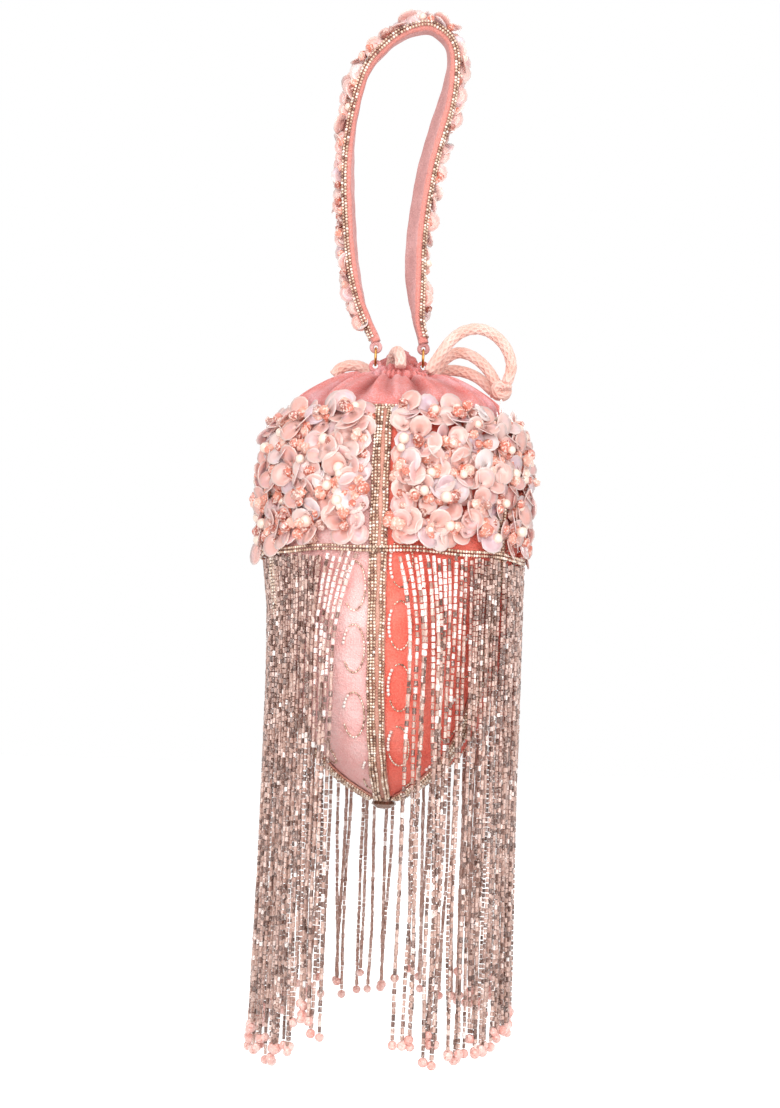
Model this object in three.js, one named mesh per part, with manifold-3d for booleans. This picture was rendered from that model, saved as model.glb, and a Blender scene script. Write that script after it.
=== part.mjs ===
// Drawstring pouch bag with a padded wrist handle, a petal band and a bead fringe.
// Sizes are in millimetres with +Z up. The front of the bag faces -Y.
// The origin is the inner top of the handle, where a wrist or a peg carries the bag.
import * as THREE from 'three';
import { mergeVertices } from 'three/addons/utils/BufferGeometryUtils.js';
import Module from 'manifold-3d';

const wasm = await Module();
wasm.setup();

// Clearance between pieces that touch
const gap = 0.3;

// Wrist handle
const handleDrop = 155; // inner top of the handle down to the ring centres
const handleReach = 29.4; // hang point out to the middle of the left leg
const strapWidth = 15;
const strapFootWidth = 6;
const strapThickness = 4.5;
const strapTwistLeft = 6; // degrees that the left leg turns its lining to the front
const strapTwistTop = -12;
const strapTwistRight = 38;
const edgeBead = 1.1; // radius of the bead row along each strap edge

// Rings and the loops that they run through
const ringSpacing = 22.8;
const ringRadius = 4;
const ringWire = 0.6;
const loopHole = 1.4;
const loopRadius = 3;
const loopThickness = 2;

// Pouch, from the gathered neck down
const pouchX = -2.1; // the pouch axis from the hang point
const neckRadius = 11.6;
const neckDrop = 12; // ring centres down to the tightest part of the neck
const ruffleFlare = 2.6;
const ruffleFront = 6.5; // height of the ruffle over the neck
const ruffleBack = 18;
const ruffleSide = 3.5;
const shoulderDrop = 20.6; // neck down to the top of the band
const shoulderCrown = 2.6; // crest of the shoulder over the neck
const frontSag = 3.6; // how much lower the crest is at the front
const bandTopRadius = 51.8;
const bandRadius = 60;
const bandHeight = 64.4;
const bodyDepth = 116.5; // bottom of the band down to the tip
const goreCount = 6;
const firstSeam = -6; // degrees from the front towards +X
const velvetThickness = 2;
const paddingThickness = 3;
const liningThickness = 0.8;
const liningClearance = 0.8;
const gatherDepth = 1.8;
const gathersPerGore = 3;
const tipRadius = 6;
const tipOpening = 1.7; // stretch of the outline that the velvet leaves open at the tip

// Trims
const seamTrimWidth = 8;
const seamTrimThickness = 1.2;
const bandTrimRadius = 0.8;

// Petals and beads sewn to the band and the handle
const petalLength = 11;
const petalWidth = 9.5;
const petalThickness = 0.8;
const petalTilt = 40;
const petalLean = 6; // degrees that a petal on the band leans off straight down
const strapPetalLean = 60;
const petalRows = 4;
const petalsPerRow = 3;
const pearlRadius = 3;
const pearlSeat = pearlRadius * 0.3; // middle of a pearl over the surface that it is sewn to
const sewnDepth = 1.5; // how far the foot of a petal sits in the padding

// Fringe
const strandsPerGore = 11;
const strandRadius = 1.1;
const fringeLength = 218;
const fringeStray = 7; // the longest strand over the mean
const endBeadRadius = 2.2;
const headerHeight = 3;
const headerThickness = 1.4;
const partingTop = 7; // half width of the bare stretch at the front seam
const partingBottom = 14;

// Drawstring rope
const ropeRadius = 2.75;
const knotRadius = 5;

// Levels and places that follow from the sizes above
const ringZ = -handleDrop;
const neckZ = ringZ - neckDrop;
const bandTopZ = neckZ - shoulderDrop;
const bandBottomZ = bandTopZ - bandHeight;
const tipZ = bandBottomZ - bodyDepth;
const ringX = [pouchX - ringSpacing / 2, pouchX + ringSpacing / 2];
const goreAngle = 360 / goreCount;
const halfTurn = 180;
const rad = THREE.MathUtils.degToRad;

const paint = {
  velvet: { color: 0xe8877c, roughness: 0.85, metalness: 0 },
  velvetPale: { color: 0xe3a09c, roughness: 0.85, metalness: 0 },
  lining: { color: 0xc98a80, roughness: 0.6, metalness: 0 },
  petal: { color: 0xecc9c6, roughness: 0.25, metalness: 0 },
  goldBead: { color: 0xc7a37f, roughness: 0.35, metalness: 0.6 },
  gold: { color: 0xc08a4c, roughness: 0.3, metalness: 1 },
  fringeBead: { color: 0xbf9688, roughness: 0.3, metalness: 0.3 },
  rope: { color: 0xecc0ae, roughness: 0.8, metalness: 0 },
};

const bag = new THREE.Group();

function addPiece(name, geometry, finish) {
  const mesh = new THREE.Mesh(geometry, new THREE.MeshStandardMaterial(paint[finish]));
  mesh.name = name;
  bag.add(mesh);
  return mesh;
}

// A repeatable spread of numbers between -1 and 1
function spread(seed) {
  const value = Math.sin(seed * 12.9898 + 4.1414) * 43758.5453;
  return 2 * (value - Math.floor(value)) - 1;
}

// Geometry with merged corners and its faces turned outwards
function tidyGeometry(geometry) {
  const bare = geometry.clone();
  bare.deleteAttribute('normal');
  bare.deleteAttribute('uv');
  const merged = mergeVertices(bare, 1e-4);
  const spot = merged.attributes.position;
  const index = merged.index.array;
  const a = new THREE.Vector3();
  const b = new THREE.Vector3();
  const c = new THREE.Vector3();
  let volume = 0;
  for (let i = 0; i < index.length; i += 3) {
    a.fromBufferAttribute(spot, index[i]);
    b.fromBufferAttribute(spot, index[i + 1]);
    c.fromBufferAttribute(spot, index[i + 2]);
    volume += a.dot(b.cross(c));
  }
  if (volume < 0) {
    for (let i = 0; i < index.length; i += 3) {
      const first = index[i];
      index[i] = index[i + 1];
      index[i + 1] = first;
    }
  }
  return merged;
}

function toSolid(geometry) {
  const tidy = tidyGeometry(geometry);
  const vertProperties = new Float32Array(tidy.attributes.position.array);
  const triVerts = new Uint32Array(tidy.index.array);
  return new wasm.Manifold(new wasm.Mesh({ numProp: 3, vertProperties, triVerts }));
}

function toGeometry(solid) {
  const mesh = solid.getMesh();
  const geometry = new THREE.BufferGeometry();
  geometry.setAttribute('position', new THREE.Float32BufferAttribute(mesh.vertProperties, 3));
  geometry.setIndex(Array.from(mesh.triVerts));
  return geometry;
}

// One geometry from a carrier and the pieces sewn to it
function sewn(carrier, pieces) {
  let solid = toSolid(carrier);
  for (const piece of pieces) {
    solid = solid.add(toSolid(piece));
  }
  return toGeometry(solid);
}

// A closed wall: place(s, t, outer) gives the point at s across and t along, from 0 to 1
function wall(across, along, place) {
  const points = [];
  const faces = [];
  const columns = across + 1;
  const rows = along + 1;
  const at = (i, j, side) => (side * rows + j) * columns + i;
  for (let side = 0; side < 2; side++) {
    for (let j = 0; j < rows; j++) {
      for (let i = 0; i < columns; i++) {
        points.push(place(i / across, j / along, side === 0));
      }
    }
  }
  const quad = (a, b, c, d) => faces.push(a, b, c, a, c, d);
  for (let j = 0; j < along; j++) {
    for (let i = 0; i < across; i++) {
      quad(at(i, j, 0), at(i + 1, j, 0), at(i + 1, j + 1, 0), at(i, j + 1, 0));
      quad(at(i, j, 1), at(i, j + 1, 1), at(i + 1, j + 1, 1), at(i + 1, j, 1));
    }
  }
  for (let i = 0; i < across; i++) {
    quad(at(i, 0, 0), at(i, 0, 1), at(i + 1, 0, 1), at(i + 1, 0, 0));
    quad(at(i, along, 0), at(i + 1, along, 0), at(i + 1, along, 1), at(i, along, 1));
  }
  for (let j = 0; j < along; j++) {
    quad(at(0, j, 0), at(0, j + 1, 0), at(0, j + 1, 1), at(0, j, 1));
    quad(at(across, j, 0), at(across, j, 1), at(across, j + 1, 1), at(across, j + 1, 0));
  }
  const geometry = new THREE.BufferGeometry().setFromPoints(points);
  geometry.setIndex(faces);
  return tidyGeometry(geometry);
}

// A closed bar through rings of points, each with the same number of corners
function bar(rings) {
  const corners = rings[0].length;
  const faces = [];
  const last = (rings.length - 1) * corners;
  for (let j = 0; j < rings.length - 1; j++) {
    for (let i = 0; i < corners; i++) {
      const a = j * corners + i;
      const b = j * corners + (i + 1) % corners;
      faces.push(a, b, b + corners, a, b + corners, a + corners);
    }
  }
  for (let i = 1; i < corners - 1; i++) {
    faces.push(0, i + 1, i, last, last + i, last + i + 1);
  }
  const geometry = new THREE.BufferGeometry().setFromPoints(rings.flat());
  geometry.setIndex(faces);
  return tidyGeometry(geometry);
}

function around(angle, radius, z) {
  const turn = rad(angle);
  return new THREE.Vector3(pouchX + radius * Math.sin(turn), -radius * Math.cos(turn), z);
}

// Outline of the band and the body below it, as radius and height
const pouchLine = new THREE.SplineCurve([
  new THREE.Vector2(bandTopRadius, bandTopZ),
  new THREE.Vector2(bandRadius * 0.955, bandTopZ - bandHeight * 0.14),
  new THREE.Vector2(bandRadius, bandTopZ - bandHeight * 0.45),
  new THREE.Vector2(bandRadius, bandBottomZ + bandHeight * 0.2),
  new THREE.Vector2(bandRadius * 0.99, bandBottomZ - bodyDepth * 0.06),
  new THREE.Vector2(bandRadius * 0.93, bandBottomZ - bodyDepth * 0.3),
  new THREE.Vector2(bandRadius * 0.83, bandBottomZ - bodyDepth * 0.54),
  new THREE.Vector2(bandRadius * 0.67, bandBottomZ - bodyDepth * 0.74),
  new THREE.Vector2(bandRadius * 0.42, bandBottomZ - bodyDepth * 0.88),
  new THREE.Vector2(tipRadius * 0.8, tipZ + bodyDepth * 0.012),
]);
pouchLine.arcLengthDivisions = 400;

// How far along the outline a height is met
function shareAtHeight(z) {
  let low = 0;
  let high = 1;
  for (let i = 0; i < 40; i++) {
    const middle = (low + high) / 2;
    if (pouchLine.getPointAt(middle).y > z) {
      low = middle;
    } else {
      high = middle;
    }
  }
  return low;
}

// The pouch surface at a share of the outline, lifted outwards
function pouchSpot(share, lift) {
  const point = pouchLine.getPointAt(share);
  const way = pouchLine.getTangentAt(share);
  return new THREE.Vector2(point.x - way.y * lift, point.y + way.x * lift);
}

const bandEnd = shareAtHeight(bandBottomZ);
const bandStepCount = 5;
const bodyStepCount = 8;
const bodyStart = bandEnd + gap / pouchLine.getLength();
const bodyEnd = 1 - tipOpening / pouchLine.getLength();
const bandShares = Array.from({ length: bandStepCount + 1 }, (_, i) => (i / bandStepCount) * bandEnd);
const bodyShares = Array.from({ length: bodyStepCount + 1 }, (_, i) => {
  const t = i / bodyStepCount;
  return bodyStart + (bodyEnd - bodyStart) * t;
});

// A wedge of the pouch wall between two seams
function goreWall(shares, seam, thickness, across) {
  return wall(across, shares.length - 1, (s, t, outer) => {
    const share = shares[Math.round(t * (shares.length - 1))];
    const spot = pouchSpot(share, outer ? 0 : -thickness);
    const margin = THREE.MathUtils.radToDeg(gap / 2 / spot.x);
    const angle = seam + margin + (goreAngle - 2 * margin) * s;
    return around(angle, spot.x, spot.y);
  });
}

// A petal: a thin leaf that stands on its pointed foot
const petalOutline = new THREE.Shape([
  new THREE.Vector2(0, 0),
  new THREE.Vector2(petalWidth * 0.5, petalLength * 0.5),
  new THREE.Vector2(petalWidth * 0.3, petalLength),
  new THREE.Vector2(-petalWidth * 0.3, petalLength),
  new THREE.Vector2(-petalWidth * 0.5, petalLength * 0.5),
]);
const petalForm = new THREE.ExtrudeGeometry(petalOutline, {
  depth: petalThickness,
  bevelEnabled: false,
});
const pearlForm = new THREE.IcosahedronGeometry(pearlRadius, 0);

// Puts a petal on a surface point: out is the surface normal, along a direction in it
function petalAt(point, out, along, spin, tilt) {
  const side = new THREE.Vector3().crossVectors(along, out).normalize();
  const flat = new THREE.Vector3().crossVectors(out, side).normalize();
  const basis = new THREE.Matrix4().makeBasis(side, flat, out);
  const turned = new THREE.Matrix4().makeRotationZ(rad(spin));
  const raised = new THREE.Matrix4().makeRotationX(rad(tilt));
  const sunk = point.clone().addScaledVector(out, -sewnDepth);
  const place = new THREE.Matrix4().makeTranslation(sunk.x, sunk.y, sunk.z);
  place.multiply(basis).multiply(turned).multiply(raised);
  return petalForm.clone().applyMatrix4(place);
}

function pearlAt(point, out) {
  const spot = point.clone().addScaledVector(out, pearlSeat);
  return pearlForm.clone().translate(spot.x, spot.y, spot.z);
}

// A point of the band with its outward and upward directions
function bandSpot(angle, share) {
  const spot = pouchSpot(share, 0);
  const way = pouchLine.getTangentAt(share);
  const point = around(angle, spot.x, spot.y);
  const level = around(angle, 1, 0).sub(around(angle, 0, 0));
  const out = level.clone().multiplyScalar(-way.y).setZ(way.x).normalize();
  const up = level.clone().multiplyScalar(-way.x).setZ(-way.y).normalize();
  return { point, out, up };
}

// Petals that point down in staggered rows over one band panel, with pearls between them
function bandTrimmings(seam, gore) {
  const pieces = [];
  const margin = seamTrimWidth / 2 + petalWidth * 0.8;
  for (let row = 0; row < petalRows; row++) {
    const share = bandEnd * (0.12 + 0.68 * (row / (petalRows - 1)));
    const inset = THREE.MathUtils.radToDeg(margin / pouchSpot(share, 0).x);
    const pitch = (goreAngle - 2 * inset) / petalsPerRow;
    for (let i = 0; i < petalsPerRow; i++) {
      const seed = gore * 97 + row * 17 + i * 5;
      const stagger = row % 2 === 0 ? 0.75 : 0.25;
      const angle = seam + inset + pitch * (i + stagger);
      const { point, out, up } = bandSpot(angle, share);
      const spin = halfTurn + petalLean * spread(seed);
      pieces.push(petalAt(point, out, up, spin, petalTilt + 8 * spread(seed + 1)));
      if ((row + 2 * i) % 5 === 0) {
        const between = bandSpot(angle - pitch / 2, share);
        pieces.push(pearlAt(between.point, between.out));
      }
    }
  }
  return pieces;
}

// Gathered shoulder and ruffle: height against radius, from the band up to the rim
function shoulderLine(angle) {
  const facing = Math.cos(rad(angle));
  const rise = facing > 0
    ? THREE.MathUtils.lerp(ruffleSide, ruffleFront, facing ** 2)
    : THREE.MathUtils.lerp(ruffleSide, ruffleBack, facing ** 2);
  const flare = ruffleFlare * Math.abs(facing);
  const span = bandTopRadius - neckRadius;
  const top = bandTopZ + 0.7;
  const crown = shoulderDrop + shoulderCrown - frontSag * Math.max(0, facing) ** 2;
  return [
    new THREE.Vector2(bandTopRadius - 0.6, top),
    new THREE.Vector2(bandTopRadius - 1.4, top + crown * 0.3),
    new THREE.Vector2(neckRadius + span * 0.83, top + crown * 0.54),
    new THREE.Vector2(neckRadius + span * 0.53, top + crown * 0.86),
    new THREE.Vector2(neckRadius + 2 * ropeRadius + 6, top + crown),
    new THREE.Vector2(neckRadius + 2 * ropeRadius + gap, neckZ - ropeRadius),
    new THREE.Vector2(neckRadius + 0.4, neckZ - ropeRadius - 1),
    new THREE.Vector2(neckRadius, neckZ + 1),
    new THREE.Vector2(neckRadius + flare, neckZ + rise),
  ];
}

function shoulderWall(seam) {
  const levels = shoulderLine(0).length - 1;
  const steps = gathersPerGore * 2;
  return wall(steps, levels, (s, t, outer) => {
    const level = Math.round(t * levels);
    const angle = seam + goreAngle * s;
    const line = shoulderLine(angle);
    const here = line[level];
    const before = line[Math.max(level - 1, 0)];
    const after = line[Math.min(level + 1, levels)];
    const way = after.clone().sub(before).normalize();
    const fold = 0.5 - 0.5 * Math.cos(2 * Math.PI * gathersPerGore * (s + 0.5 / gathersPerGore));
    const depth = level === 0 ? 0 : gatherDepth * (level < 5 ? 1 : 0.45);
    const lift = -depth * fold - (outer ? 0 : velvetThickness * (level > 4 ? 0.75 : 1));
    const radius = here.x + way.y * lift;
    const margin = THREE.MathUtils.radToDeg(gap / 2 / radius);
    const held = THREE.MathUtils.clamp(angle, seam + margin, seam + goreAngle - margin);
    return around(held, radius, here.y - way.x * lift);
  });
}

// Beaded tape over a seam, from the band top to the tip
function seamTape(seam) {
  const shares = [...bandShares, ...bodyShares.slice(1)];
  const ridges = [1, 0.4, 1];
  const steps = ridges.length - 1;
  const rows = shares.length - 1;
  return wall(steps, rows, (s, t, outer) => {
    const row = Math.round(t * rows);
    const share = row === 0 ? shares[1] * 0.12 : shares[row];
    const ridge = ridges[Math.round(s * steps)];
    const spot = pouchSpot(share, gap + (outer ? seamTrimThickness * ridge : 0));
    const base = pouchLine.getPointAt(share).x;
    const room = (Math.PI / goreCount) * base - gap;
    const half = Math.min(seamTrimWidth / 2, room);
    const angle = seam + THREE.MathUtils.radToDeg(half / base) * (2 * s - 1);
    return around(angle, spot.x, spot.y);
  });
}

function ringOfBeads(radius, z) {
  const ring = new THREE.TorusGeometry(radius, bandTrimRadius, 4, goreCount * 5);
  return tidyGeometry(ring.translate(pouchX, 0, z));
}

// Fringe: a short tape with its strands, each with a bead on its end
const bottomTrimRadius = bandRadius + 2 * gap + seamTrimThickness + bandTrimRadius;
const bottomTrimZ = bandBottomZ - bandTrimRadius;
const fringeRadius = bottomTrimRadius + 0.3;
const headerTopZ = bottomTrimZ - bandTrimRadius - gap;

// Sideways shift that opens the curtain of strands at the front seam
function partedAngle(angle, seam, share) {
  const offset = THREE.MathUtils.euclideanModulo(angle - seam + halfTurn, 2 * halfTurn) - halfTurn;
  const half = THREE.MathUtils.lerp(partingTop, partingBottom, Math.min(1, share));
  const start = THREE.MathUtils.radToDeg(partingTop / fringeRadius);
  const opened = THREE.MathUtils.radToDeg(half / fringeRadius);
  const reach = goreAngle / 2;
  const away = Math.abs(offset);
  if (away > reach) {
    return angle;
  }
  const moved = opened + (away - start) * (reach - opened) / (reach - start);
  return seam + Math.sign(offset) * Math.max(away, moved);
}

function strand(angle, length) {
  const ends = [
    [0, strandRadius, headerHeight * 0.6],
    [0.4, strandRadius, length * 0.4],
    [1, strandRadius, length - endBeadRadius * 2],
    [1, endBeadRadius, length - endBeadRadius],
    [1, endBeadRadius * 0.2, length],
  ].filter(([share]) => share !== 0.4 || partedAngle(angle, firstSeam, 1) !== angle);
  const rings = ends.map(([share, radius, drop]) => {
    const centre = around(partedAngle(angle, firstSeam, share * 2.5), fringeRadius, 0);
    return [0, 1, 2].map((corner) => {
      const turn = rad(angle + 120 * corner);
      const x = centre.x + radius * Math.sin(turn);
      const y = centre.y - radius * Math.cos(turn);
      return new THREE.Vector3(x, y, headerTopZ - drop);
    });
  });
  return bar(rings);
}

function fringePanel(seam, gore) {
  const margin = THREE.MathUtils.radToDeg(gap / fringeRadius);
  const tape = wall(6, 1, (s, t, outer) => {
    const angle = seam + margin + (goreAngle - 2 * margin) * s;
    const radius = fringeRadius + headerThickness * (outer ? 0.5 : -0.5);
    return around(angle, radius, headerTopZ - headerHeight * t);
  });
  const strands = [];
  const inset = THREE.MathUtils.radToDeg(partingTop / 2 / fringeRadius);
  for (let i = 0; i < strandsPerGore; i++) {
    const beside = seam === firstSeam || gore === goreCount - 1;
    const edge = beside ? inset * 2 : inset;
    const low = seam === firstSeam ? edge : inset;
    const high = gore === goreCount - 1 ? edge : inset;
    const angle = seam + low + (goreAngle - low - high) * (i / (strandsPerGore - 1));
    const length = fringeLength + fringeStray * spread(gore * 31 + i * 7);
    strands.push(strand(angle, length));
  }
  return sewn(tape, strands);
}

// Pieces of the pouch, gore by gore
for (let gore = 0; gore < goreCount; gore++) {
  const seam = firstSeam + goreAngle * gore;
  const number = gore + 1;
  const panel = goreWall(bandShares, seam, paddingThickness, 4);
  addPiece(`band_panel_${number}`, sewn(panel, bandTrimmings(seam, gore)), 'petal');
  const body = goreWall(bodyShares, seam, velvetThickness, 4);
  addPiece(`body_gore_${number}`, body, gore < goreCount / 2 ? 'velvet' : 'velvetPale');
  addPiece(`shoulder_gather_${number}`, shoulderWall(seam), 'velvet');
  addPiece(`seam_trim_${number}`, seamTape(seam), 'goldBead');
  addPiece(`fringe_${number}`, fringePanel(seam, gore), 'fringeBead');
}

addPiece('band_top_trim', ringOfBeads(bandTopRadius + 0.7, bandTopZ + 1.1), 'goldBead');
addPiece('band_bottom_trim', ringOfBeads(bottomTrimRadius, bottomTrimZ), 'goldBead');

// Button of beads that closes the tip, with a stem between the ends of the gores
const tipSpot = pouchSpot(bodyEnd, 0);
const stemRadius = pouchSpot(bodyEnd, -velvetThickness).x - 2 * gap;
const buttonTop = tipSpot.y - seamTrimThickness - 2 * gap;
const tipLine = [
  new THREE.Vector2(0, buttonTop - 4),
  new THREE.Vector2(tipRadius * 0.6, buttonTop - 3.2),
  new THREE.Vector2(tipRadius, buttonTop - 1.4),
  new THREE.Vector2(tipRadius * 0.9, buttonTop),
  new THREE.Vector2(stemRadius, buttonTop),
  new THREE.Vector2(stemRadius, tipSpot.y + velvetThickness),
  new THREE.Vector2(0, tipSpot.y + velvetThickness),
];
const tipButton = new THREE.LatheGeometry(tipLine, 12).rotateX(Math.PI / 2);
addPiece('tip_button', tidyGeometry(tipButton.translate(pouchX, 0, 0)), 'goldBead');

// Lining: an open cup inside the band and the body
const liningOut = -paddingThickness - liningClearance;
const liningShares = [...bandShares.slice(1), ...bodyShares.slice(1, -1)].filter((_, i) => i % 2 === 0);
const liningOuter = liningShares.map((share) => pouchSpot(share, liningOut));
const liningInner = liningShares.map((share) => pouchSpot(share, liningOut - liningThickness));
const liningBottom = Math.min(liningOuter[liningOuter.length - 1].y - 1, tipSpot.y + bodyDepth * 0.1);
const liningLine = [
  new THREE.Vector2(0, liningBottom),
  ...liningOuter.reverse(),
  ...liningInner,
  new THREE.Vector2(0, liningBottom + liningThickness * 1.6),
];
const liningCup = new THREE.LatheGeometry(liningLine, goreCount * 2, rad(firstSeam));
addPiece('lining', tidyGeometry(liningCup.rotateX(Math.PI / 2).translate(pouchX, 0, 0)), 'lining');

// Loop of velvet with a round hole, in the plane of the handle
function loopPlate(outline) {
  const plate = new THREE.ExtrudeGeometry(outline, {
    depth: loopThickness,
    bevelEnabled: false,
    curveSegments: 6,
  });
  return plate.rotateX(Math.PI / 2).translate(0, loopThickness / 2, 0);
}

function holeAt(x, z, clockwise) {
  return new THREE.Path().absarc(x, z, loopHole, 0, clockwise ? -2 * Math.PI : 2 * Math.PI, clockwise);
}

const loopSeat = loopHole - ringWire - gap; // wire off the middle of its loop
const upperLoopZ = ringZ + ringRadius + loopSeat;
const lowerLoopZ = ringZ - ringRadius - loopSeat;

// Rings and, below them, the tabs sewn inside the neck
ringX.forEach((x, i) => {
  const side = i === 0 ? 'left' : 'right';
  const wire = new THREE.TorusGeometry(ringRadius, ringWire, 6, 14).rotateY(Math.PI / 2);
  addPiece(`ring_${side}`, tidyGeometry(wire.translate(x, 0, ringZ)), 'gold');
  const inwards = i === 0 ? 1 : -1;
  const throat = neckRadius - velvetThickness * 0.75 - gatherDepth * 0.45 - gap;
  const outerEdge = pouchX - inwards * throat;
  const innerEdge = outerEdge + inwards * 1.4;
  const tabEnd = neckZ - 6;
  const outline = new THREE.Shape();
  const start = i === 0 ? -0.25 * Math.PI : 1.25 * Math.PI;
  const end = i === 0 ? 1.5 * Math.PI : -0.5 * Math.PI;
  outline.absarc(x, lowerLoopZ, loopRadius, start, end, i === 1);
  outline.lineTo(outerEdge, neckZ + ruffleSide + 2 * gap);
  outline.lineTo(outerEdge, tabEnd);
  outline.lineTo(innerEdge, tabEnd);
  outline.lineTo(innerEdge, neckZ + ruffleSide + 4 * gap);
  outline.holes.push(holeAt(x, lowerLoopZ, i === 0));
  addPiece(`tab_${side}`, tidyGeometry(loopPlate(outline)), 'velvet');
});

// Middle line of the strap, from the left foot over the top to the right foot
const strapFootZ = upperLoopZ + loopRadius - 0.5;
const topZ = strapThickness / 2;
const strapLine = new THREE.CatmullRomCurve3([
  new THREE.Vector3(ringX[0], 0, strapFootZ),
  new THREE.Vector3(handleReach * -0.74, 0, -handleDrop * 0.83),
  new THREE.Vector3(handleReach * -0.92, 0, -handleDrop * 0.64),
  new THREE.Vector3(-handleReach, 0, -handleDrop * 0.36),
  new THREE.Vector3(handleReach * -0.84, 0, -handleDrop * 0.145),
  new THREE.Vector3(handleReach * -0.43, 0, -handleDrop * 0.035),
  new THREE.Vector3(0, 0, topZ),
  new THREE.Vector3(handleReach * 0.34, 0, topZ * 0.9),
  new THREE.Vector3(handleReach * 0.61, 0, -handleDrop * 0.05),
  new THREE.Vector3(handleReach * 0.56, 0, -handleDrop * 0.18),
  new THREE.Vector3(handleReach * 0.25, 0, -handleDrop * 0.42),
  new THREE.Vector3(handleReach * 0.11, 0, -handleDrop * 0.67),
  new THREE.Vector3(handleReach * 0.19, 0, -handleDrop * 0.86),
  new THREE.Vector3(ringX[1], 0, strapFootZ),
], false, 'centripetal');
strapLine.arcLengthDivisions = 400;

// Middle, width direction, outward direction and width of the strap at a share of its length
function strapFrame(share) {
  const point = strapLine.getPointAt(share);
  const way = strapLine.getTangentAt(share);
  const out = new THREE.Vector3(-way.z, 0, way.x);
  const near = Math.min(share, 1 - share);
  const settled = THREE.MathUtils.smoothstep(near, 0, 0.12);
  const onLeft = 1 - THREE.MathUtils.smoothstep(share, 0.22, 0.4);
  const onRight = THREE.MathUtils.smoothstep(share, 0.5, 0.68);
  const twist = strapTwistTop + (strapTwistLeft - strapTwistTop) * onLeft + (strapTwistRight - strapTwistTop) * onRight;
  const lean = twist * settled;
  const across = new THREE.Vector3(0, 1, 0).multiplyScalar(Math.cos(rad(lean)));
  across.addScaledVector(out, -Math.sin(rad(lean)));
  const face = out.multiplyScalar(Math.cos(rad(lean)));
  face.add(new THREE.Vector3(0, Math.sin(rad(lean)), 0));
  const width = THREE.MathUtils.lerp(strapFootWidth, strapWidth, THREE.MathUtils.smoothstep(near, 0, 0.07));
  return { point, across, face, width };
}

const strapStepCount = 27;
const strapCorners = [
  [-0.5, -0.25], [-0.42, -0.5], [0.42, -0.5], [0.5, -0.25],
  [0.5, 0.25], [0.42, 0.5], [-0.42, 0.5], [-0.5, 0.25],
];
const strapRings = Array.from({ length: strapStepCount + 1 }, (_, i) => {
  const { point, across, face, width } = strapFrame(i / strapStepCount);
  return strapCorners.map(([w, h]) => point.clone()
    .addScaledVector(across, w * width)
    .addScaledVector(face, h * strapThickness));
});

const strapPieces = ringX.map((x) => {
  const outline = new THREE.Shape().absarc(x, upperLoopZ, loopRadius, 0, 2 * Math.PI, false);
  outline.holes.push(holeAt(x, upperLoopZ, true));
  return loopPlate(outline);
});
const strapPetals = Math.round(strapLine.getLength() / (petalLength * 1.9));
for (let i = 0; i < strapPetals; i++) {
  const share = 0.05 + 0.9 * (i / (strapPetals - 1));
  const { point, across, face } = strapFrame(share);
  const offset = strapWidth * 0.16 * (i % 2 === 0 ? 1 : -1);
  const foot = point.clone().addScaledVector(across, offset);
  foot.addScaledVector(face, strapThickness / 2);
  const along = strapLine.getTangentAt(share);
  strapPieces.push(petalAt(foot, face, along, strapPetalLean * spread(i * 3), petalTilt));
  if (i % 4 === 1) {
    strapPieces.push(pearlAt(foot, face));
  }
}
addPiece('handle_strap', sewn(bar(strapRings), strapPieces), 'velvet');

// Bead rows along both edges of the strap
for (const [side, name] of [[-1, 'front'], [1, 'back']]) {
  const rings = Array.from({ length: strapStepCount + 1 }, (_, i) => {
    const share = 0.02 + 0.96 * (i / strapStepCount);
    const { point, across, face, width } = strapFrame(share);
    const centre = point.clone().addScaledVector(across, side * (width / 2 + 2 * gap + edgeBead));
    return [0, 1, 2, 3].map((corner) => {
      const turn = rad(90 * corner);
      return centre.clone()
        .addScaledVector(across, edgeBead * Math.cos(turn))
        .addScaledVector(face, edgeBead * Math.sin(turn));
    });
  });
  addPiece(`handle_trim_${name}`, bar(rings), 'goldBead');
}

// Drawstring: a ring in the groove round the neck, then free runs of the same rope
const ropeRingRadius = neckRadius + gap * 1.5 + ropeRadius;
const ropeRing = new THREE.TorusGeometry(ropeRingRadius, ropeRadius, 8, 18);
addPiece('drawstring_neck', tidyGeometry(ropeRing.translate(pouchX, 0, neckZ + 0.6)), 'rope');

function ropeRun(name, route, steps) {
  const path = new THREE.CatmullRomCurve3(route.map((p) => new THREE.Vector3(...p)));
  path.arcLengthDivisions = 300;
  const section = new THREE.Shape();
  for (let i = 0; i < 8; i++) {
    const turn = rad(45 * i);
    const x = ropeRadius * Math.cos(turn);
    const y = ropeRadius * Math.sin(turn);
    if (i === 0) {
      section.moveTo(x, y);
    } else {
      section.lineTo(x, y);
    }
  }
  section.closePath();
  const tube = new THREE.ExtrudeGeometry(section, { steps, extrudePath: path });
  addPiece(name, tidyGeometry(tube), 'rope');
}

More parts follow.
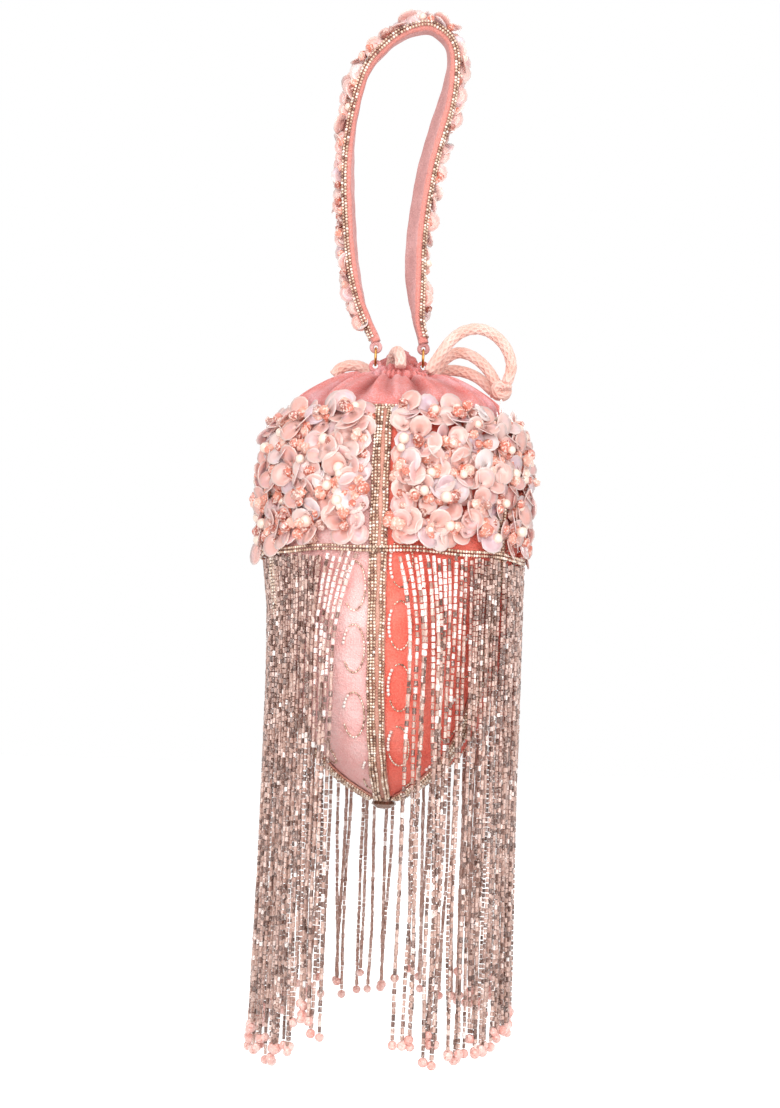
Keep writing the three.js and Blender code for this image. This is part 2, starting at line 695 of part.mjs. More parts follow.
ropeRun('drawstring_loop_high', [
  [12.0, -8.8, -163.2], [15.0, -9.4, -158.4], [18.4, -9.0, -153.0], [22.0, -8.0, -147.8],
  [26.6, -6.8, -143.6], [32.0, -5.6, -141.4], [38.1, -4.4, -141.3], [44.4, -3.6, -144.5],
  [49.4, -3.0, -150.4], [51.6, -2.6, -158.0], [49.8, -2.0, -166.0],
], 12);
ropeRun('drawstring_loop_middle', [
  [14.0, 4.0, -163.2], [16.8, 5.0, -158.2], [20.6, 5.4, -153.6], [25.8, 5.2, -150.8],
  [31.5, 4.8, -151.6], [37.0, 4.4, -155.0], [41.6, 4.2, -159.8], [45.2, 4.0, -165.6],
], 8);
ropeRun('drawstring_loop_low', [
  [11.0, 10.2, -163.2], [14.6, 11.6, -160.2], [19.6, 12.6, -158.4], [25.4, 12.6, -158.0],
  [31.4, 12.0, -159.2], [37.4, 11.0, -162.2], [43.9, 9.6, -168.0],
], 7);
ropeRun('drawstring_arch', [
  [-6.1, 4.4, -166.0], [-6.0, 4.2, -161.6], [-5.5, 1.6, -156.8], [-4.3, -4.4, -154.0],
  [-2.8, -11.2, -154.4], [-1.7, -16.4, -157.6], [-1.3, -17.9, -162.9],
], 9);
ropeRun('drawstring_loop_left', [
  [-14.6, 11.4, -163.2], [-17.0, 12.4, -159.6], [-21.2, 12.9, -157.6], [-26.0, 13.2, -157.2],
  [-30.6, 13.5, -158.8], [-33.8, 13.9, -162.4],
], 7);

const knot = new THREE.SphereGeometry(knotRadius, 10, 7).scale(1.1, 1.5, 0.92);
addPiece('drawstring_knot', tidyGeometry(knot.translate(48.0, 4.0, -170.2)), 'rope');

export default bag;
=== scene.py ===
# Evening pouch with a beaded handle, a band of petals and a long bead fringe
import math
import bpy
import numpy as np
from mathutils import Matrix, Vector


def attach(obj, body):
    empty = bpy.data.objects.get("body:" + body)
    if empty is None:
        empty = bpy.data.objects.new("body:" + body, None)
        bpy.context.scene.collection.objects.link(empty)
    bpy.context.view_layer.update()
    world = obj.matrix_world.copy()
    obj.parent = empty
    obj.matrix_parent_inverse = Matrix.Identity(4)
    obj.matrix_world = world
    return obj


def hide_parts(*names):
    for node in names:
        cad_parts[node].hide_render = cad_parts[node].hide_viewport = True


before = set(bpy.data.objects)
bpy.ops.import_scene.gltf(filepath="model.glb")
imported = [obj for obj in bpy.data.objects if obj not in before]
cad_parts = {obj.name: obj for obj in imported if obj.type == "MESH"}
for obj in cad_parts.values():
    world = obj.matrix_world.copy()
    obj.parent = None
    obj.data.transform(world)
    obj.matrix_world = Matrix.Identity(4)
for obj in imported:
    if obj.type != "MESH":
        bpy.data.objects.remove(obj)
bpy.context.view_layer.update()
rng = np.random.default_rng(7)
print("frame loaded")

# The pouch hangs on a vertical axis; all lengths in metres
pouch = {
    "axisX": -0.0021, "ringZ": -0.155, "neckZ": -0.167, "bandTopZ": -0.1876, "bandBottomZ": -0.252,
    "tipZ": -0.3685, "tipRadius": 0.0048, "neckRadius": 0.0116, "bandTopRadius": 0.0518,
    "bandRadius": 0.060, "gores": 6, "firstSeam": -6.0, "goreAngle": 60.0, "seamGap": 0.00012,
    "ringHalf": 0.0114,
}
goreNumbers = range(1, pouch["gores"] + 1)

# The photo's view, in its pixels and metres
photo = {"height": 1108, "sensor": 36, "metresPerPixel": 0.00048, "distance": 0.90,
         "horizonRow": 714, "aimColumn": 390, "plumbX": 415, "plumbY": 35, "plumbLean": 2.0}


def makeCamera():
    turn = math.radians(photo["plumbLean"])
    across = photo["aimColumn"] - photo["plumbX"]
    down = photo["horizonRow"] - photo["plumbY"]
    x = photo["metresPerPixel"] * (across * math.cos(turn) + down * math.sin(turn))
    z = -photo["metresPerPixel"] * (down * math.cos(turn) - across * math.sin(turn))
    bpy.ops.object.camera_add(location=(x, -photo["distance"], z))
    camera = bpy.context.object
    camera.rotation_euler = (Matrix.Rotation(math.pi / 2, 4, "X") @ Matrix.Rotation(turn, 4, "Z")).to_euler()
    camera.data.sensor_width = photo["sensor"]
    focal = photo["distance"] / photo["metresPerPixel"]
    camera.data.lens = photo["sensor"] * focal / photo["height"]
    camera.data.shift_y = (photo["horizonRow"] - photo["height"] / 2) / photo["height"]
    bpy.context.scene.camera = camera


makeCamera()
print("camera placed")


# Shader maths: a socket that can be added, multiplied and compared
class Wire:
    def __init__(self, maker, socket):
        self.maker, self.socket = maker, socket

    def maths(self, operation, *others):
        return self.maker.node("ShaderNodeMath", {"operation": operation}, dict(enumerate((self,) + others)))

    def __add__(self, other):
        return self.maths("ADD", other)

    def __mul__(self, other):
        return self.maths("MULTIPLY", other)

    __radd__ = __add__
    __rmul__ = __mul__


class Finish:
    def __init__(self, name, world=None):
        self.material = world or bpy.data.materials.new(name)
        self.material.use_nodes = True
        self.tree = self.material.node_tree
        self.shader = self.tree.nodes["Background" if world else "Principled BSDF"]

    def node(self, kind, settings=None, inputs=None, output=0):
        made = self.tree.nodes.new(kind)
        for key, value in (settings or {}).items():
            if key == "stops":
                ramp = made.color_ramp
                for i, (place, colour) in enumerate(value):
                    stop = ramp.elements[i] if i < 2 else ramp.elements.new(place)
                    stop.position, stop.color = place, (*colour, 1)
            else:
                setattr(made, key, value)
        for key, value in (inputs or {}).items():
            self.feed(made.inputs[key], value)
        return Wire(self, made.outputs[output])

    def feed(self, socket, value):
        if isinstance(value, Wire):
            self.tree.links.new(value.socket, socket)
        elif socket.type == "RGBA":
            socket.default_value = (*value, 1)
        else:
            socket.default_value = value

    def noise(self, scale, detail=2):
        place = self.node("ShaderNodeTexCoord", output="Object")
        return self.node("ShaderNodeTexNoise", None, {"Vector": place, "Scale": scale, "Detail": detail})

    def tone(self, name="tone"):
        return self.node("ShaderNodeAttribute", {"attribute_name": name}, output="Fac")

    def ramp(self, factor, stops):
        return self.node("ShaderNodeValToRGB", {"stops": stops}, {0: factor})

    def greys(self, factor, *stops):
        return self.ramp(factor, [(place, (grey, grey, grey)) for place, grey in stops])

    def mix(self, factor, first, second):
        return self.node("ShaderNodeMix", {"data_type": "RGBA"}, {0: factor, 6: first, 7: second}, 2)

    def bump(self, height, distance, strength):
        inputs = {"Height": height, "Distance": distance, "Strength": strength}
        return self.node("ShaderNodeBump", None, inputs)

    def set(self, **values):
        for key, value in values.items():
            self.feed(self.shader.inputs[key.replace("_", " ")], value)
        return self.material


def rgb(red, green, blue):
    def linear(value):
        value /= 255
        return value / 12.92 if value <= 0.04045 else ((value + 0.055) / 1.055) ** 2.4
    return linear(red), linear(green), linear(blue)


# Velvet colour: patches and pile specks vary at random between the deep and bright tones, and the pale third
# colour is painted sheen on the pile
def velvetFinish(name, deep, bright, sheenPale, crease=None):
    finish = Finish(name)
    patches = finish.noise(55, 3)
    pile = finish.noise(1500)
    nap = finish.ramp(patches, [(0.3, deep), (0.5, bright), (0.7, sheenPale)])
    specks = finish.ramp(pile, [(0.35, deep), (0.55, bright), (0.75, sheenPale)])
    shade = finish.mix(0.45, nap, specks)
    # Where the tone attribute is 1 this last colour is mixed in: painted shade in the fold valleys of the
    # gathered velvet, and the strap's own coral edge colour on the strap
    if crease:
        shade = finish.mix(finish.tone(), shade, crease)
    height = pile + finish.noise(420) * 1.4
    return finish.set(Base_Color=shade, Roughness=0.9, Sheen_Weight=0.25, Sheen_Roughness=0.4,
                      Sheen_Tint=rgb(255, 214, 210), Normal=finish.bump(height, 0.0006, 0.9))


def beadFinish(name, stops, metallic, roughness, coat=0.6, glintAndShadeFlecks=None):
    finish = Finish(name)
    shade = finish.ramp(finish.tone(), stops)
    swirl = finish.noise(900, 1)
    # Dark flecks are painted shade and pale flecks are painted glints
    if glintAndShadeFlecks:
        dark, pale = glintAndShadeFlecks
        spots = finish.noise(1100, 1)
        shade = finish.mix(finish.greys(spots, (0.30, 0.85), (0.42, 0)), shade, dark)
        shade = finish.mix(finish.greys(spots, (0.58, 0), (0.72, 0.8)), shade, pale)
    return finish.set(Base_Color=shade, Metallic=metallic, Roughness=swirl * 0.25 + roughness,
                      Coat_Weight=coat, Coat_Roughness=0.08)


def petalFinish():
    finish = Finish("pearlyPetal")
    # Colours of each petal: the pinks and peaches are its own, the near-white stops are painted highlight and
    # the lavender ones painted shade, here and in the clouds below
    shade = finish.ramp(finish.tone(), [
        (0.0, rgb(242, 180, 166)), (0.2, rgb(250, 202, 192)), (0.4, rgb(238, 166, 152)),
        (0.55, rgb(236, 196, 200)), (0.7, rgb(248, 190, 176)), (0.84, rgb(252, 230, 224)),
        (0.93, rgb(218, 192, 208)), (1.0, rgb(255, 252, 250))])
    clouds = finish.noise(210)
    play = finish.ramp(clouds, [
        (0.35, rgb(252, 184, 170)), (0.55, rgb(250, 214, 206)), (0.72, rgb(222, 200, 218))])
    mixed = finish.mix(0.35, shade, play)
    # Painted highlight along each petal's rim
    rim = finish.tone("rim")
    rimHighlighted = finish.mix(finish.greys(rim, (0.80, 0), (0.97, 0.7)), mixed, rgb(255, 240, 232))
    return finish.set(Base_Color=rimHighlighted, Roughness=clouds * 0.25 + 0.08, Metallic=0.08, Alpha=0.78,
                      Coat_Weight=0.6, Coat_Roughness=0.05,
                      Normal=finish.bump(finish.noise(420), 0.0003, 0.5))


def pearlFinish():
    finish = Finish("ivoryPearl")
    clouds = finish.noise(320)
    shade = finish.mix(clouds * 0.6, rgb(248, 226, 208), rgb(243, 206, 194))
    return finish.set(Base_Color=shade, Roughness=clouds * 0.1 + 0.16, Coat_Weight=0.5, Metallic=0.1)


def crystalFinish():
    finish = Finish("salmonCrystal")
    shade = finish.ramp(finish.tone(), [
        (0.0, rgb(158, 76, 60)), (0.3, rgb(212, 112, 88)), (0.6, rgb(232, 146, 122)),
        (0.85, rgb(248, 190, 172)), (1.0, rgb(138, 70, 60))])
    glintNoise = finish.noise(900, 1)
    # Painted glints inside the crystals
    lit = finish.mix(finish.greys(glintNoise, (0.5, 0), (0.64, 0.8)), shade, rgb(255, 226, 212))
    return finish.set(Base_Color=lit, Roughness=glintNoise * 0.12 + 0.04, Coat_Weight=0.8, IOR=1.6)


def ropeFinish():
    finish = Finish("peachRope")
    fibres = finish.noise(1900)
    patches = finish.noise(120, 1)
    shade = finish.ramp(patches, [(0.3, rgb(236, 190, 174)), (0.6, rgb(246, 214, 202))])
    fibresAndHollowShade = finish.mix(fibres * 0.25, shade, rgb(234, 178, 160))
    # Painted shade in the hollows between the braid's crossings, from the tone attribute
    fibresAndHollowShade = finish.mix(finish.tone() * 0.5, fibresAndHollowShade, rgb(226, 158, 142))
    return finish.set(Base_Color=fibresAndHollowShade, Roughness=0.78, Sheen_Weight=0.3,
                      Normal=finish.bump(fibres, 0.0003, 0.6))


def goldFinish():
    finish = Finish("goldRing")
    marks = finish.noise(800)
    return finish.set(Base_Color=rgb(206, 150, 84), Metallic=1.0, Roughness=marks * 0.2 + 0.18)


def liningFinish():
    finish = Finish("satinLining")
    weave = finish.noise(1200)
    shade = finish.mix(weave * 0.5, rgb(214, 150, 138), rgb(190, 122, 112))
    return finish.set(Base_Color=shade, Roughness=0.45, Normal=finish.bump(weave, 0.0002, 0.4))


velvetCoral = velvetFinish("coralVelvet", rgb(232, 88, 72), rgb(255, 122, 104), rgb(255, 160, 146))
# The coral velvet painted paler rose, as painted sheen
velvetSheenRose = velvetFinish("sheenRoseVelvet", rgb(244, 168, 164), rgb(255, 202, 198), rgb(255, 232, 230))
velvetSeam = velvetFinish("seamVelvet", rgb(200, 128, 108), rgb(224, 164, 146), rgb(240, 192, 176))
# Gathered velvet: its last colour is painted shade in the fold valleys
velvetGathered = velvetFinish("gatheredVelvet", rgb(222, 98, 88), rgb(228, 150, 146), rgb(242, 206, 216),
                              rgb(146, 54, 48))
velvetStrap = velvetFinish("strapVelvet", rgb(192, 134, 132), rgb(220, 164, 160), rgb(240, 190, 188),
                           rgb(226, 144, 132))
goldBead = beadFinish("champagneBead", [
    (0.0, rgb(128, 92, 74)), (0.3, rgb(184, 146, 122)), (0.65, rgb(226, 200, 178)),
    (1.0, rgb(252, 240, 228))], 0.5, 0.14)
fringeBead = beadFinish("silverLinedBead", [
    (0.0, rgb(88, 58, 48)), (0.2, rgb(118, 82, 70)), (0.32, rgb(166, 126, 113)),
    (0.75, rgb(208, 172, 158)), (0.88, rgb(244, 220, 212)), (1.0, rgb(255, 248, 244))], 0.12, 0.16,
    glintAndShadeFlecks=(rgb(150, 112, 98), rgb(232, 204, 192)))
endBead = beadFinish("salmonEndBead", [(0.0, rgb(232, 166, 154)), (1.0, rgb(248, 206, 196))], 0.05, 0.05, 0.8,
                     (rgb(206, 134, 122), rgb(255, 230, 222)))
whiteBead = beadFinish("opalBead", [(0.0, rgb(232, 200, 190)), (1.0, rgb(255, 246, 240))], 0.15, 0.1)
petalSkin = petalFinish()
pearlSkin = pearlFinish()
crystalSkin = crystalFinish()
ropeSkin = ropeFinish()
goldSkin = goldFinish()
satinSkin = liningFinish()
print("finishes made")


# Part t of the way from the second of four points in a row to the third, on a smooth curve
def onCurve(p0, p1, p2, p3, t):
    return 0.5 * (2 * p1 + (p2 - p0) * t + (2 * p0 - 5 * p1 + 4 * p2 - p3) * t ** 2
                  + (3 * p1 - p0 - 3 * p2 + p3) * t ** 3)


def throughPoints(points, samples):
    points = np.array(points)
    padded = np.vstack([2 * points[0] - points[1], points, 2 * points[-1] - points[-2]])
    places = np.linspace(0, len(points) - 1 - 1e-9, samples)
    span = places.astype(int)
    return onCurve(*(padded[span + i] for i in range(4)), (places - span)[:, None])


# Outline of the pouch wall, from the band top to the tip, as radius and height
bandHeight = pouch["bandTopZ"] - pouch["bandBottomZ"]
bodyDepth = pouch["bandBottomZ"] - pouch["tipZ"]
wallLine = throughPoints([
    (pouch["bandTopRadius"], pouch["bandTopZ"]),
    (pouch["bandRadius"] * 0.955, pouch["bandTopZ"] - bandHeight * 0.14),
    (pouch["bandRadius"], pouch["bandTopZ"] - bandHeight * 0.45),
    (pouch["bandRadius"], pouch["bandBottomZ"] + bandHeight * 0.2),
    (pouch["bandRadius"] * 0.99, pouch["bandBottomZ"] - bodyDepth * 0.06),
    (pouch["bandRadius"] * 0.93, pouch["bandBottomZ"] - bodyDepth * 0.3),
    (pouch["bandRadius"] * 0.83, pouch["bandBottomZ"] - bodyDepth * 0.54),
    (pouch["bandRadius"] * 0.67, pouch["bandBottomZ"] - bodyDepth * 0.74),
    (pouch["bandRadius"] * 0.42, pouch["bandBottomZ"] - bodyDepth * 0.88),
    (pouch["tipRadius"], pouch["tipZ"] + bodyDepth * 0.012)], 600)
wallRun = np.concatenate([[0], np.cumsum(np.hypot(*np.diff(wallLine, axis=0).T))])
wallLength = wallRun[-1]


def wallPoint(run):
    return np.array([np.interp(run, wallRun, wallLine[:, k]) for k in range(2)])


# Radius and height at a distance down the wall, lifted off it squarely
def wallSpot(run, lift=0.0):
    radius, height = wallPoint(run)
    ahead, behind = (wallPoint(np.clip(run + step, 0, wallLength)) for step in (0.0008, -0.0008))
    dr, dz = ahead - behind
    size = np.hypot(dr, dz)
    return radius - dz / size * lift, height + dr / size * lift


def runAtHeight(z):
    return float(np.interp(-z, -wallLine[:, 1], wallRun))


# Points on a turn about the pouch axis; 0 degrees is the front, 90 the right
def around(angle, radius, z):
    turn = np.radians(angle)
    return np.stack([pouch["axisX"] + radius * np.sin(turn), -radius * np.cos(turn),
                     np.broadcast_to(z, np.shape(turn * radius)) + 0.0], -1)


# The same direction between -180 and 180 degrees
def wrapped(angle):
    return (angle + 180) % 360 - 180


def seamAngle(number):
    return pouch["firstSeam"] + pouch["goreAngle"] * (number - 1)


# A share of the way from one seam to the next, clear of both
def betweenSeams(number, share, radius, height):
    margin = np.degrees(pouch["seamGap"] / radius)
    return around(seamAngle(number) + margin + (pouch["goreAngle"] - 2 * margin) * share, radius, height)


bandEnd = runAtHeight(pouch["bandBottomZ"])


# Modelling helpers
def onlyThis(piece):
    bpy.ops.object.select_all(action="DESELECT")
    piece.select_set(True)
    bpy.context.view_layer.objects.active = piece


def closeSeams(piece, caps=False):
    onlyThis(piece)
    bpy.ops.object.mode_set(mode="EDIT")
    bpy.ops.mesh.select_all(action="SELECT")
    bpy.ops.mesh.remove_doubles(threshold=1e-6)
    if caps:
        bpy.ops.mesh.fill_holes(sides=0)
    bpy.ops.mesh.normals_make_consistent(inside=False)
    bpy.ops.object.mode_set(mode="OBJECT")


# Puts a piece's place into its mesh
def settle(piece):
    onlyThis(piece)
    bpy.ops.object.transform_apply(location=True, rotation=True, scale=True)


def thicken(piece, thickness, offset):
    onlyThis(piece)
    wall = piece.modifiers.new("wall", "SOLIDIFY")
    wall.thickness, wall.offset = thickness, offset
    bpy.ops.object.modifier_apply(modifier="wall")


# A grid whose corners are moved to place(s, t), then welded and given a wall
def drapedGrid(name, columns, rows, place, thickness=0.0, caps=False, tone=None):
    bpy.ops.object.select_all(action="DESELECT")
    bpy.ops.mesh.primitive_grid_add(x_subdivisions=columns, y_subdivisions=rows, size=2)
    piece = bpy.context.object
    piece.name = piece.data.name = name
    count = len(piece.data.vertices)
    flat = np.empty(count * 3)
    piece.data.vertices.foreach_get("co", flat)
    flat = flat.reshape(-1, 3)
    s, t = (flat[:, 0] + 1) / 2, (flat[:, 1] + 1) / 2
    piece.data.vertices.foreach_set("co", place(s, t).astype(np.float32).ravel())
    if tone is not None:
        layer = piece.data.attributes.new("tone", "FLOAT", "POINT")
        layer.data.foreach_set("value", tone(s, t).astype(np.float32))
    piece.data.update()
    closeSeams(piece, caps)
    if thickness:
        thicken(piece, thickness, -1)
    bpy.ops.object.shade_smooth()
    return piece


# Corners and faces of a modelled form, which is then removed, and each corner's share of its reach
def takeForm(piece):
    settle(piece)
    mesh = piece.data
    corners = np.empty(len(mesh.vertices) * 3)
    mesh.vertices.foreach_get("co", corners)
    faces = [list(face.vertices) for face in mesh.polygons]
    smooth = mesh.polygons[0].use_smooth
    bpy.data.objects.remove(piece)
    corners = corners.reshape(-1, 3)
    middle = (corners.min(0) + corners.max(0)) / 2
    reach = np.hypot(*(corners - middle)[:, :2].T)
    return corners, faces, smooth, reach / reach.max()


# One mesh of many copies of a form: axes holds each copy's x, y and z directions, sizes its scales
def copies(name, form, spots, axes, sizes, tones, material):
    corners, faces, smooth, rim = form
    scaled = corners[None] * np.asarray(sizes)[:, None, :]
    placed = np.einsum("nvk,nkj->nvj", scaled, np.asarray(axes)) + np.asarray(spots)[:, None]
    count, size = len(spots), len(corners)
    loops = np.concatenate([np.array(face) for face in faces])
    totals = np.array([len(face) for face in faces])
    allLoops = (loops[None] + np.arange(count)[:, None] * size).ravel()
    starts = np.concatenate([[0], np.cumsum(np.tile(totals, count))[:-1]])
    mesh = bpy.data.meshes.new(name)
    mesh.vertices.add(count * size)
    mesh.vertices.foreach_set("co", placed.astype(np.float32).ravel())
    mesh.loops.add(len(allLoops))
    mesh.loops.foreach_set("vertex_index", allLoops.astype(np.int32))
    mesh.polygons.add(len(starts))
    mesh.polygons.foreach_set("loop_start", starts.astype(np.int32))
    mesh.polygons.foreach_set("use_smooth", np.full(len(starts), smooth))
    mesh.update(calc_edges=True)
    layer = mesh.attributes.new("tone", "FLOAT", "POINT")
    layer.data.foreach_set("value", np.repeat(tones, size).astype(np.float32))
    if material is petalSkin:
        layer = mesh.attributes.new("rim", "FLOAT", "POINT")
        layer.data.foreach_set("value", np.tile(rim, count).astype(np.float32))
    mesh.materials.append(material)
    piece = bpy.data.objects.new(name, mesh)
    bpy.context.collection.objects.link(piece)
    return piece


def dress(piece, body, material=None, nodes=()):
    if material is not None:
        piece.data.materials.clear()
        piece.data.materials.append(material)
    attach(piece, body)
    if nodes:
        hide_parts(*nodes)
    return piece


# Rows of axes: side, along and out, for pieces that lie on a surface
def frames(out, along):
    out = out / np.linalg.norm(out, axis=1, keepdims=True)
    side = np.cross(along, out)
    side /= np.linalg.norm(side, axis=1, keepdims=True)
    along = np.cross(out, side)
    return np.stack([side, along, out], 1)


# Turns each copy's axes about its own x (0), y (1) or z (2) axis
def turned(axes, angles, which):
    c, s = np.cos(np.radians(angles)), np.sin(np.radians(angles))
    first, second = (which + 1) % 3, (which + 2) % 3
    made = axes.copy()
    made[:, first] = axes[:, first] * c[:, None] + axes[:, second] * s[:, None]
    made[:, second] = axes[:, second] * c[:, None] - axes[:, first] * s[:, None]
    return made


def unturned(count):
    return np.tile(np.eye(3), (count, 1, 1))


# Unit directions along a line of points
def headings(line):
    way = np.gradient(line, axis=0)
    return way / np.linalg.norm(way, axis=1, keepdims=True)


def distances(line):
    return np.concatenate([[0], np.cumsum(np.linalg.norm(np.diff(line, axis=0), axis=1))])


def pointsAt(places, run, line):
    return np.stack([np.interp(places, run, line[:, k]) for k in range(3)], -1)


# Braided drawstring: its free runs, in millimetres, and the knot
rope = {"radius": 0.00275, "relief": 0.00036, "twist": 640.0, "carriers": 6, "rowStep": 0.0004,
        "columns": 48, "samples": 400}
ropeRoutes = {
    "high": [(12.0, -8.8, -163.2), (15.0, -9.4, -158.4), (18.4, -9.0, -153.0), (22.0, -8.0, -147.8),
             (26.6, -6.8, -143.6), (32.0, -5.6, -141.4), (38.1, -4.4, -141.3), (44.4, -3.6, -144.5),
             (49.4, -3.0, -150.4), (51.6, -2.6, -158.0), (49.8, -2.0, -166.0)],
    "middle": [(14.0, 4.0, -163.2), (16.8, 5.0, -158.2), (20.6, 5.4, -153.6), (25.8, 5.2, -150.8),
               (31.5, 4.8, -151.6), (37.0, 4.4, -155.0), (41.6, 4.2, -159.8), (45.2, 4.0, -165.6)],
    "low": [(11.0, 10.2, -163.2), (14.6, 11.6, -160.2), (19.6, 12.6, -158.4), (25.4, 12.6, -158.0),
            (31.4, 12.0, -159.2), (37.4, 11.0, -162.2), (43.9, 9.6, -168.0)],
    "arch": [(-6.1, 4.4, -166.0), (-6.0, 4.2, -161.6), (-5.5, 1.6, -156.8), (-4.3, -4.4, -154.0),
             (-2.8, -11.2, -154.4), (-1.7, -16.4, -157.6), (-1.3, -17.9, -162.9)],
    "left": [(-14.6, 11.4, -163.2), (-17.0, 12.4, -159.6), (-21.2, 12.9, -157.6), (-26.0, 13.2, -157.2),
             (-30.6, 13.5, -158.8), (-33.8, 13.9, -162.4)],
}
knot = {"centre": (0.0474, 0.0040, -0.1688), "wraps": 2.6, "coil": 0.0028, "half": 0.0060,
        "radius": 0.0025, "samples": 240}


# Side directions that don't spin as they follow a line
def carriedFrames(line):
    way = headings(line)
    side = np.zeros_like(way)
    held = np.cross(way[0], [0.3, 0.9, 0.2])
    for i, direction in enumerate(way):
        held = held - direction * np.dot(held, direction)
        held = held / np.linalg.norm(held)
        side[i] = held
    return side, np.cross(way, side)


# Points round a line: s goes round it, t along it
def roundLine(line, s, t, radius):
    side, up = carriedFrames(line)
    row = np.round(t * (len(line) - 1)).astype(int)
    turn = 2 * np.pi * s
    right, raised = radius * np.cos(turn), radius * np.sin(turn)
    return line[row] + side[row] * right[:, None] + up[row] * raised[:, None]


def braidedTube(name, line, thick):
    run = distances(line)
    rows = max(40, int(run[-1] / rope["rowStep"]))
    even = pointsAt(np.linspace(0, run[-1], rows + 1), run, line)
    winds = round(rope["twist"] * run[-1] / np.pi)

    def crossing(s, t):
        turn, spin = rope["carriers"] * 2 * np.pi * s, winds * 2 * np.pi * t
        return np.maximum(np.cos(turn + spin), np.cos(turn - spin))

    def place(s, t):
        radius = thick - rope["relief"] + rope["relief"] * crossing(s, t)
        row = np.round(t * rows)
        return roundLine(even, s, t, radius * np.where((row == 0) | (row == rows), 0.8, 1))

    # Tone that is 1 in the hollows between the crossings, for painted shade
    def hollowShade(s, t):
        return np.clip(0.5 - 0.5 * crossing(s, t), 0, 1)
    return drapedGrid(name, rope["columns"], rows, place, caps=True, tone=hollowShade)


# Gathered velvet over the rope in the groove round the neck
channel = {"gathers": 34, "columns": 20, "rows": 480, "gap": 0.00045, "rise": 0.0006}


def neckChannel():
    turn = np.radians(np.linspace(0, 360, channel["rows"] + 1))
    reach = pouch["neckRadius"] + channel["gap"] + rope["radius"]
    ring = np.stack([pouch["axisX"] + reach * np.cos(turn), reach * np.sin(turn),
                     np.full_like(turn, pouch["neckZ"] + channel["rise"])], 1)

    def folds(s, t):
        drift = 0.35 * np.sin(14 * np.pi * t)
        return (0.5 + 0.5 * np.sin(2 * np.pi * (channel["gathers"] * t + drift))) ** 1.5

    def place(s, t):
        return roundLine(ring, s, t, rope["radius"] * (1.06 - 0.24 * folds(s, t)))

    # Tone for the velvet: painted shade in the valleys between the gathers
    def tone(s, t):
        return 0.5 * folds(s, t)
    return drapedGrid("neckChannel", channel["columns"], channel["rows"], place, tone=tone)


def makeRopes():
    runs = {}
    for name, route in ropeRoutes.items():
        line = throughPoints(np.array(route) / 1000, rope["samples"])
        piece = braidedTube(f"rope{name.capitalize()}", line, rope["radius"])
        node = "drawstring_arch" if name == "arch" else f"drawstring_loop_{name}"
        dress(piece, "pouch", ropeSkin, [node])
        runs[name] = (piece, line)
    dress(neckChannel(), "pouch", velvetGathered, ["drawstring_neck"])
    share = np.linspace(0, 1, knot["samples"])
    wound = 2 * np.pi * knot["wraps"] * share
    coil = np.array(knot["centre"]) + np.stack([
        knot["coil"] * np.cos(wound), knot["half"] * (2 * share - 1), knot["coil"] * 0.75 * np.sin(wound)], 1)
    tied = braidedTube("ropeKnot", coil, knot["radius"])
    dress(tied, "pouch", ropeSkin, ["drawstring_knot"])
    for name in ("high", "middle", "low", "arch"):
        piece, line = runs[name]
        "object" if name == "arch" else "knot"
        [tuple(p) for p in line[::10]] + [tuple(line[-1])]
        [tied] if name == "high" else []


makeRopes()
print("ropes braided")


# Forms that repeat
petal = {"length": 0.0110, "width": 0.0106, "thickness": 0.00028, "cup": 0.0003, "holeRadius": 0.0006}


def petalForm():
    bpy.ops.object.select_all(action="DESELECT")
    bpy.ops.mesh.primitive_circle_add(vertices=12, radius=1, fill_type="NOTHING")
    piece = bpy.context.object
    bpy.ops.object.mode_set(mode="EDIT")
    bpy.ops.mesh.select_all(action="SELECT")
    bpy.ops.mesh.extrude_region_move()
    bpy.ops.transform.resize(value=(0.55, 0.55, 1))
    bpy.ops.mesh.extrude_region_move()
    bpy.ops.transform.resize(value=(0.28, 0.28, 1))
    bpy.ops.object.mode_set(mode="OBJECT")
    hole = petal["holeRadius"] / (petal["width"] / 2)
    for corner in piece.data.vertices:
        x, y = corner.co.x, corner.co.y
        reach = math.hypot(x, y)
        pinch = 1 - 0.42 * max(0.0, -y) ** 1.5
        low = y if reach > hole * 2 else y - 0.55
        corner.co = (x * pinch * petal["width"] / 2, (low + 1) * petal["length"] / 2,
                     petal["cup"] * (reach ** 2 - 0.5) + 0.0003 * y * y)
    thicken(piece, petal["thickness"], 0)
    closeSeams(piece)
    bpy.ops.object.shade_smooth()
    return takeForm(piece)


def roundForm(segments, rings, smooth=True):
    bpy.ops.object.select_all(action="DESELECT")
    bpy.ops.mesh.primitive_uv_sphere_add(segments=segments, ring_count=rings, radius=1)
    piece = bpy.context.object
    if smooth:
        bpy.ops.object.shade_smooth()
    return takeForm(piece)


# A round cut bead with flat ends and facets in two rows
def crystalForm():
    bpy.ops.object.select_all(action="DESELECT")
    bpy.ops.mesh.primitive_cylinder_add(vertices=8, radius=0.5, depth=1)
    piece = bpy.context.object
    bpy.ops.object.mode_set(mode="EDIT")
    bpy.ops.mesh.select_all(action="SELECT")
    bpy.ops.mesh.subdivide(number_cuts=1)
    bpy.ops.object.mode_set(mode="OBJECT")
    for corner in piece.data.vertices:
        if abs(corner.co.z) < 0.01:
            corner.co.x *= 2.0
            corner.co.y *= 2.0
        corner.co.z *= 1.5
    closeSeams(piece)
    return takeForm(piece)


# A short six sided tube bead
def cutBeadForm():
    bpy.ops.object.select_all(action="DESELECT")
    bpy.ops.mesh.primitive_cylinder_add(vertices=6, radius=1, depth=2, end_fill_type="NGON")
    return takeForm(bpy.context.object)


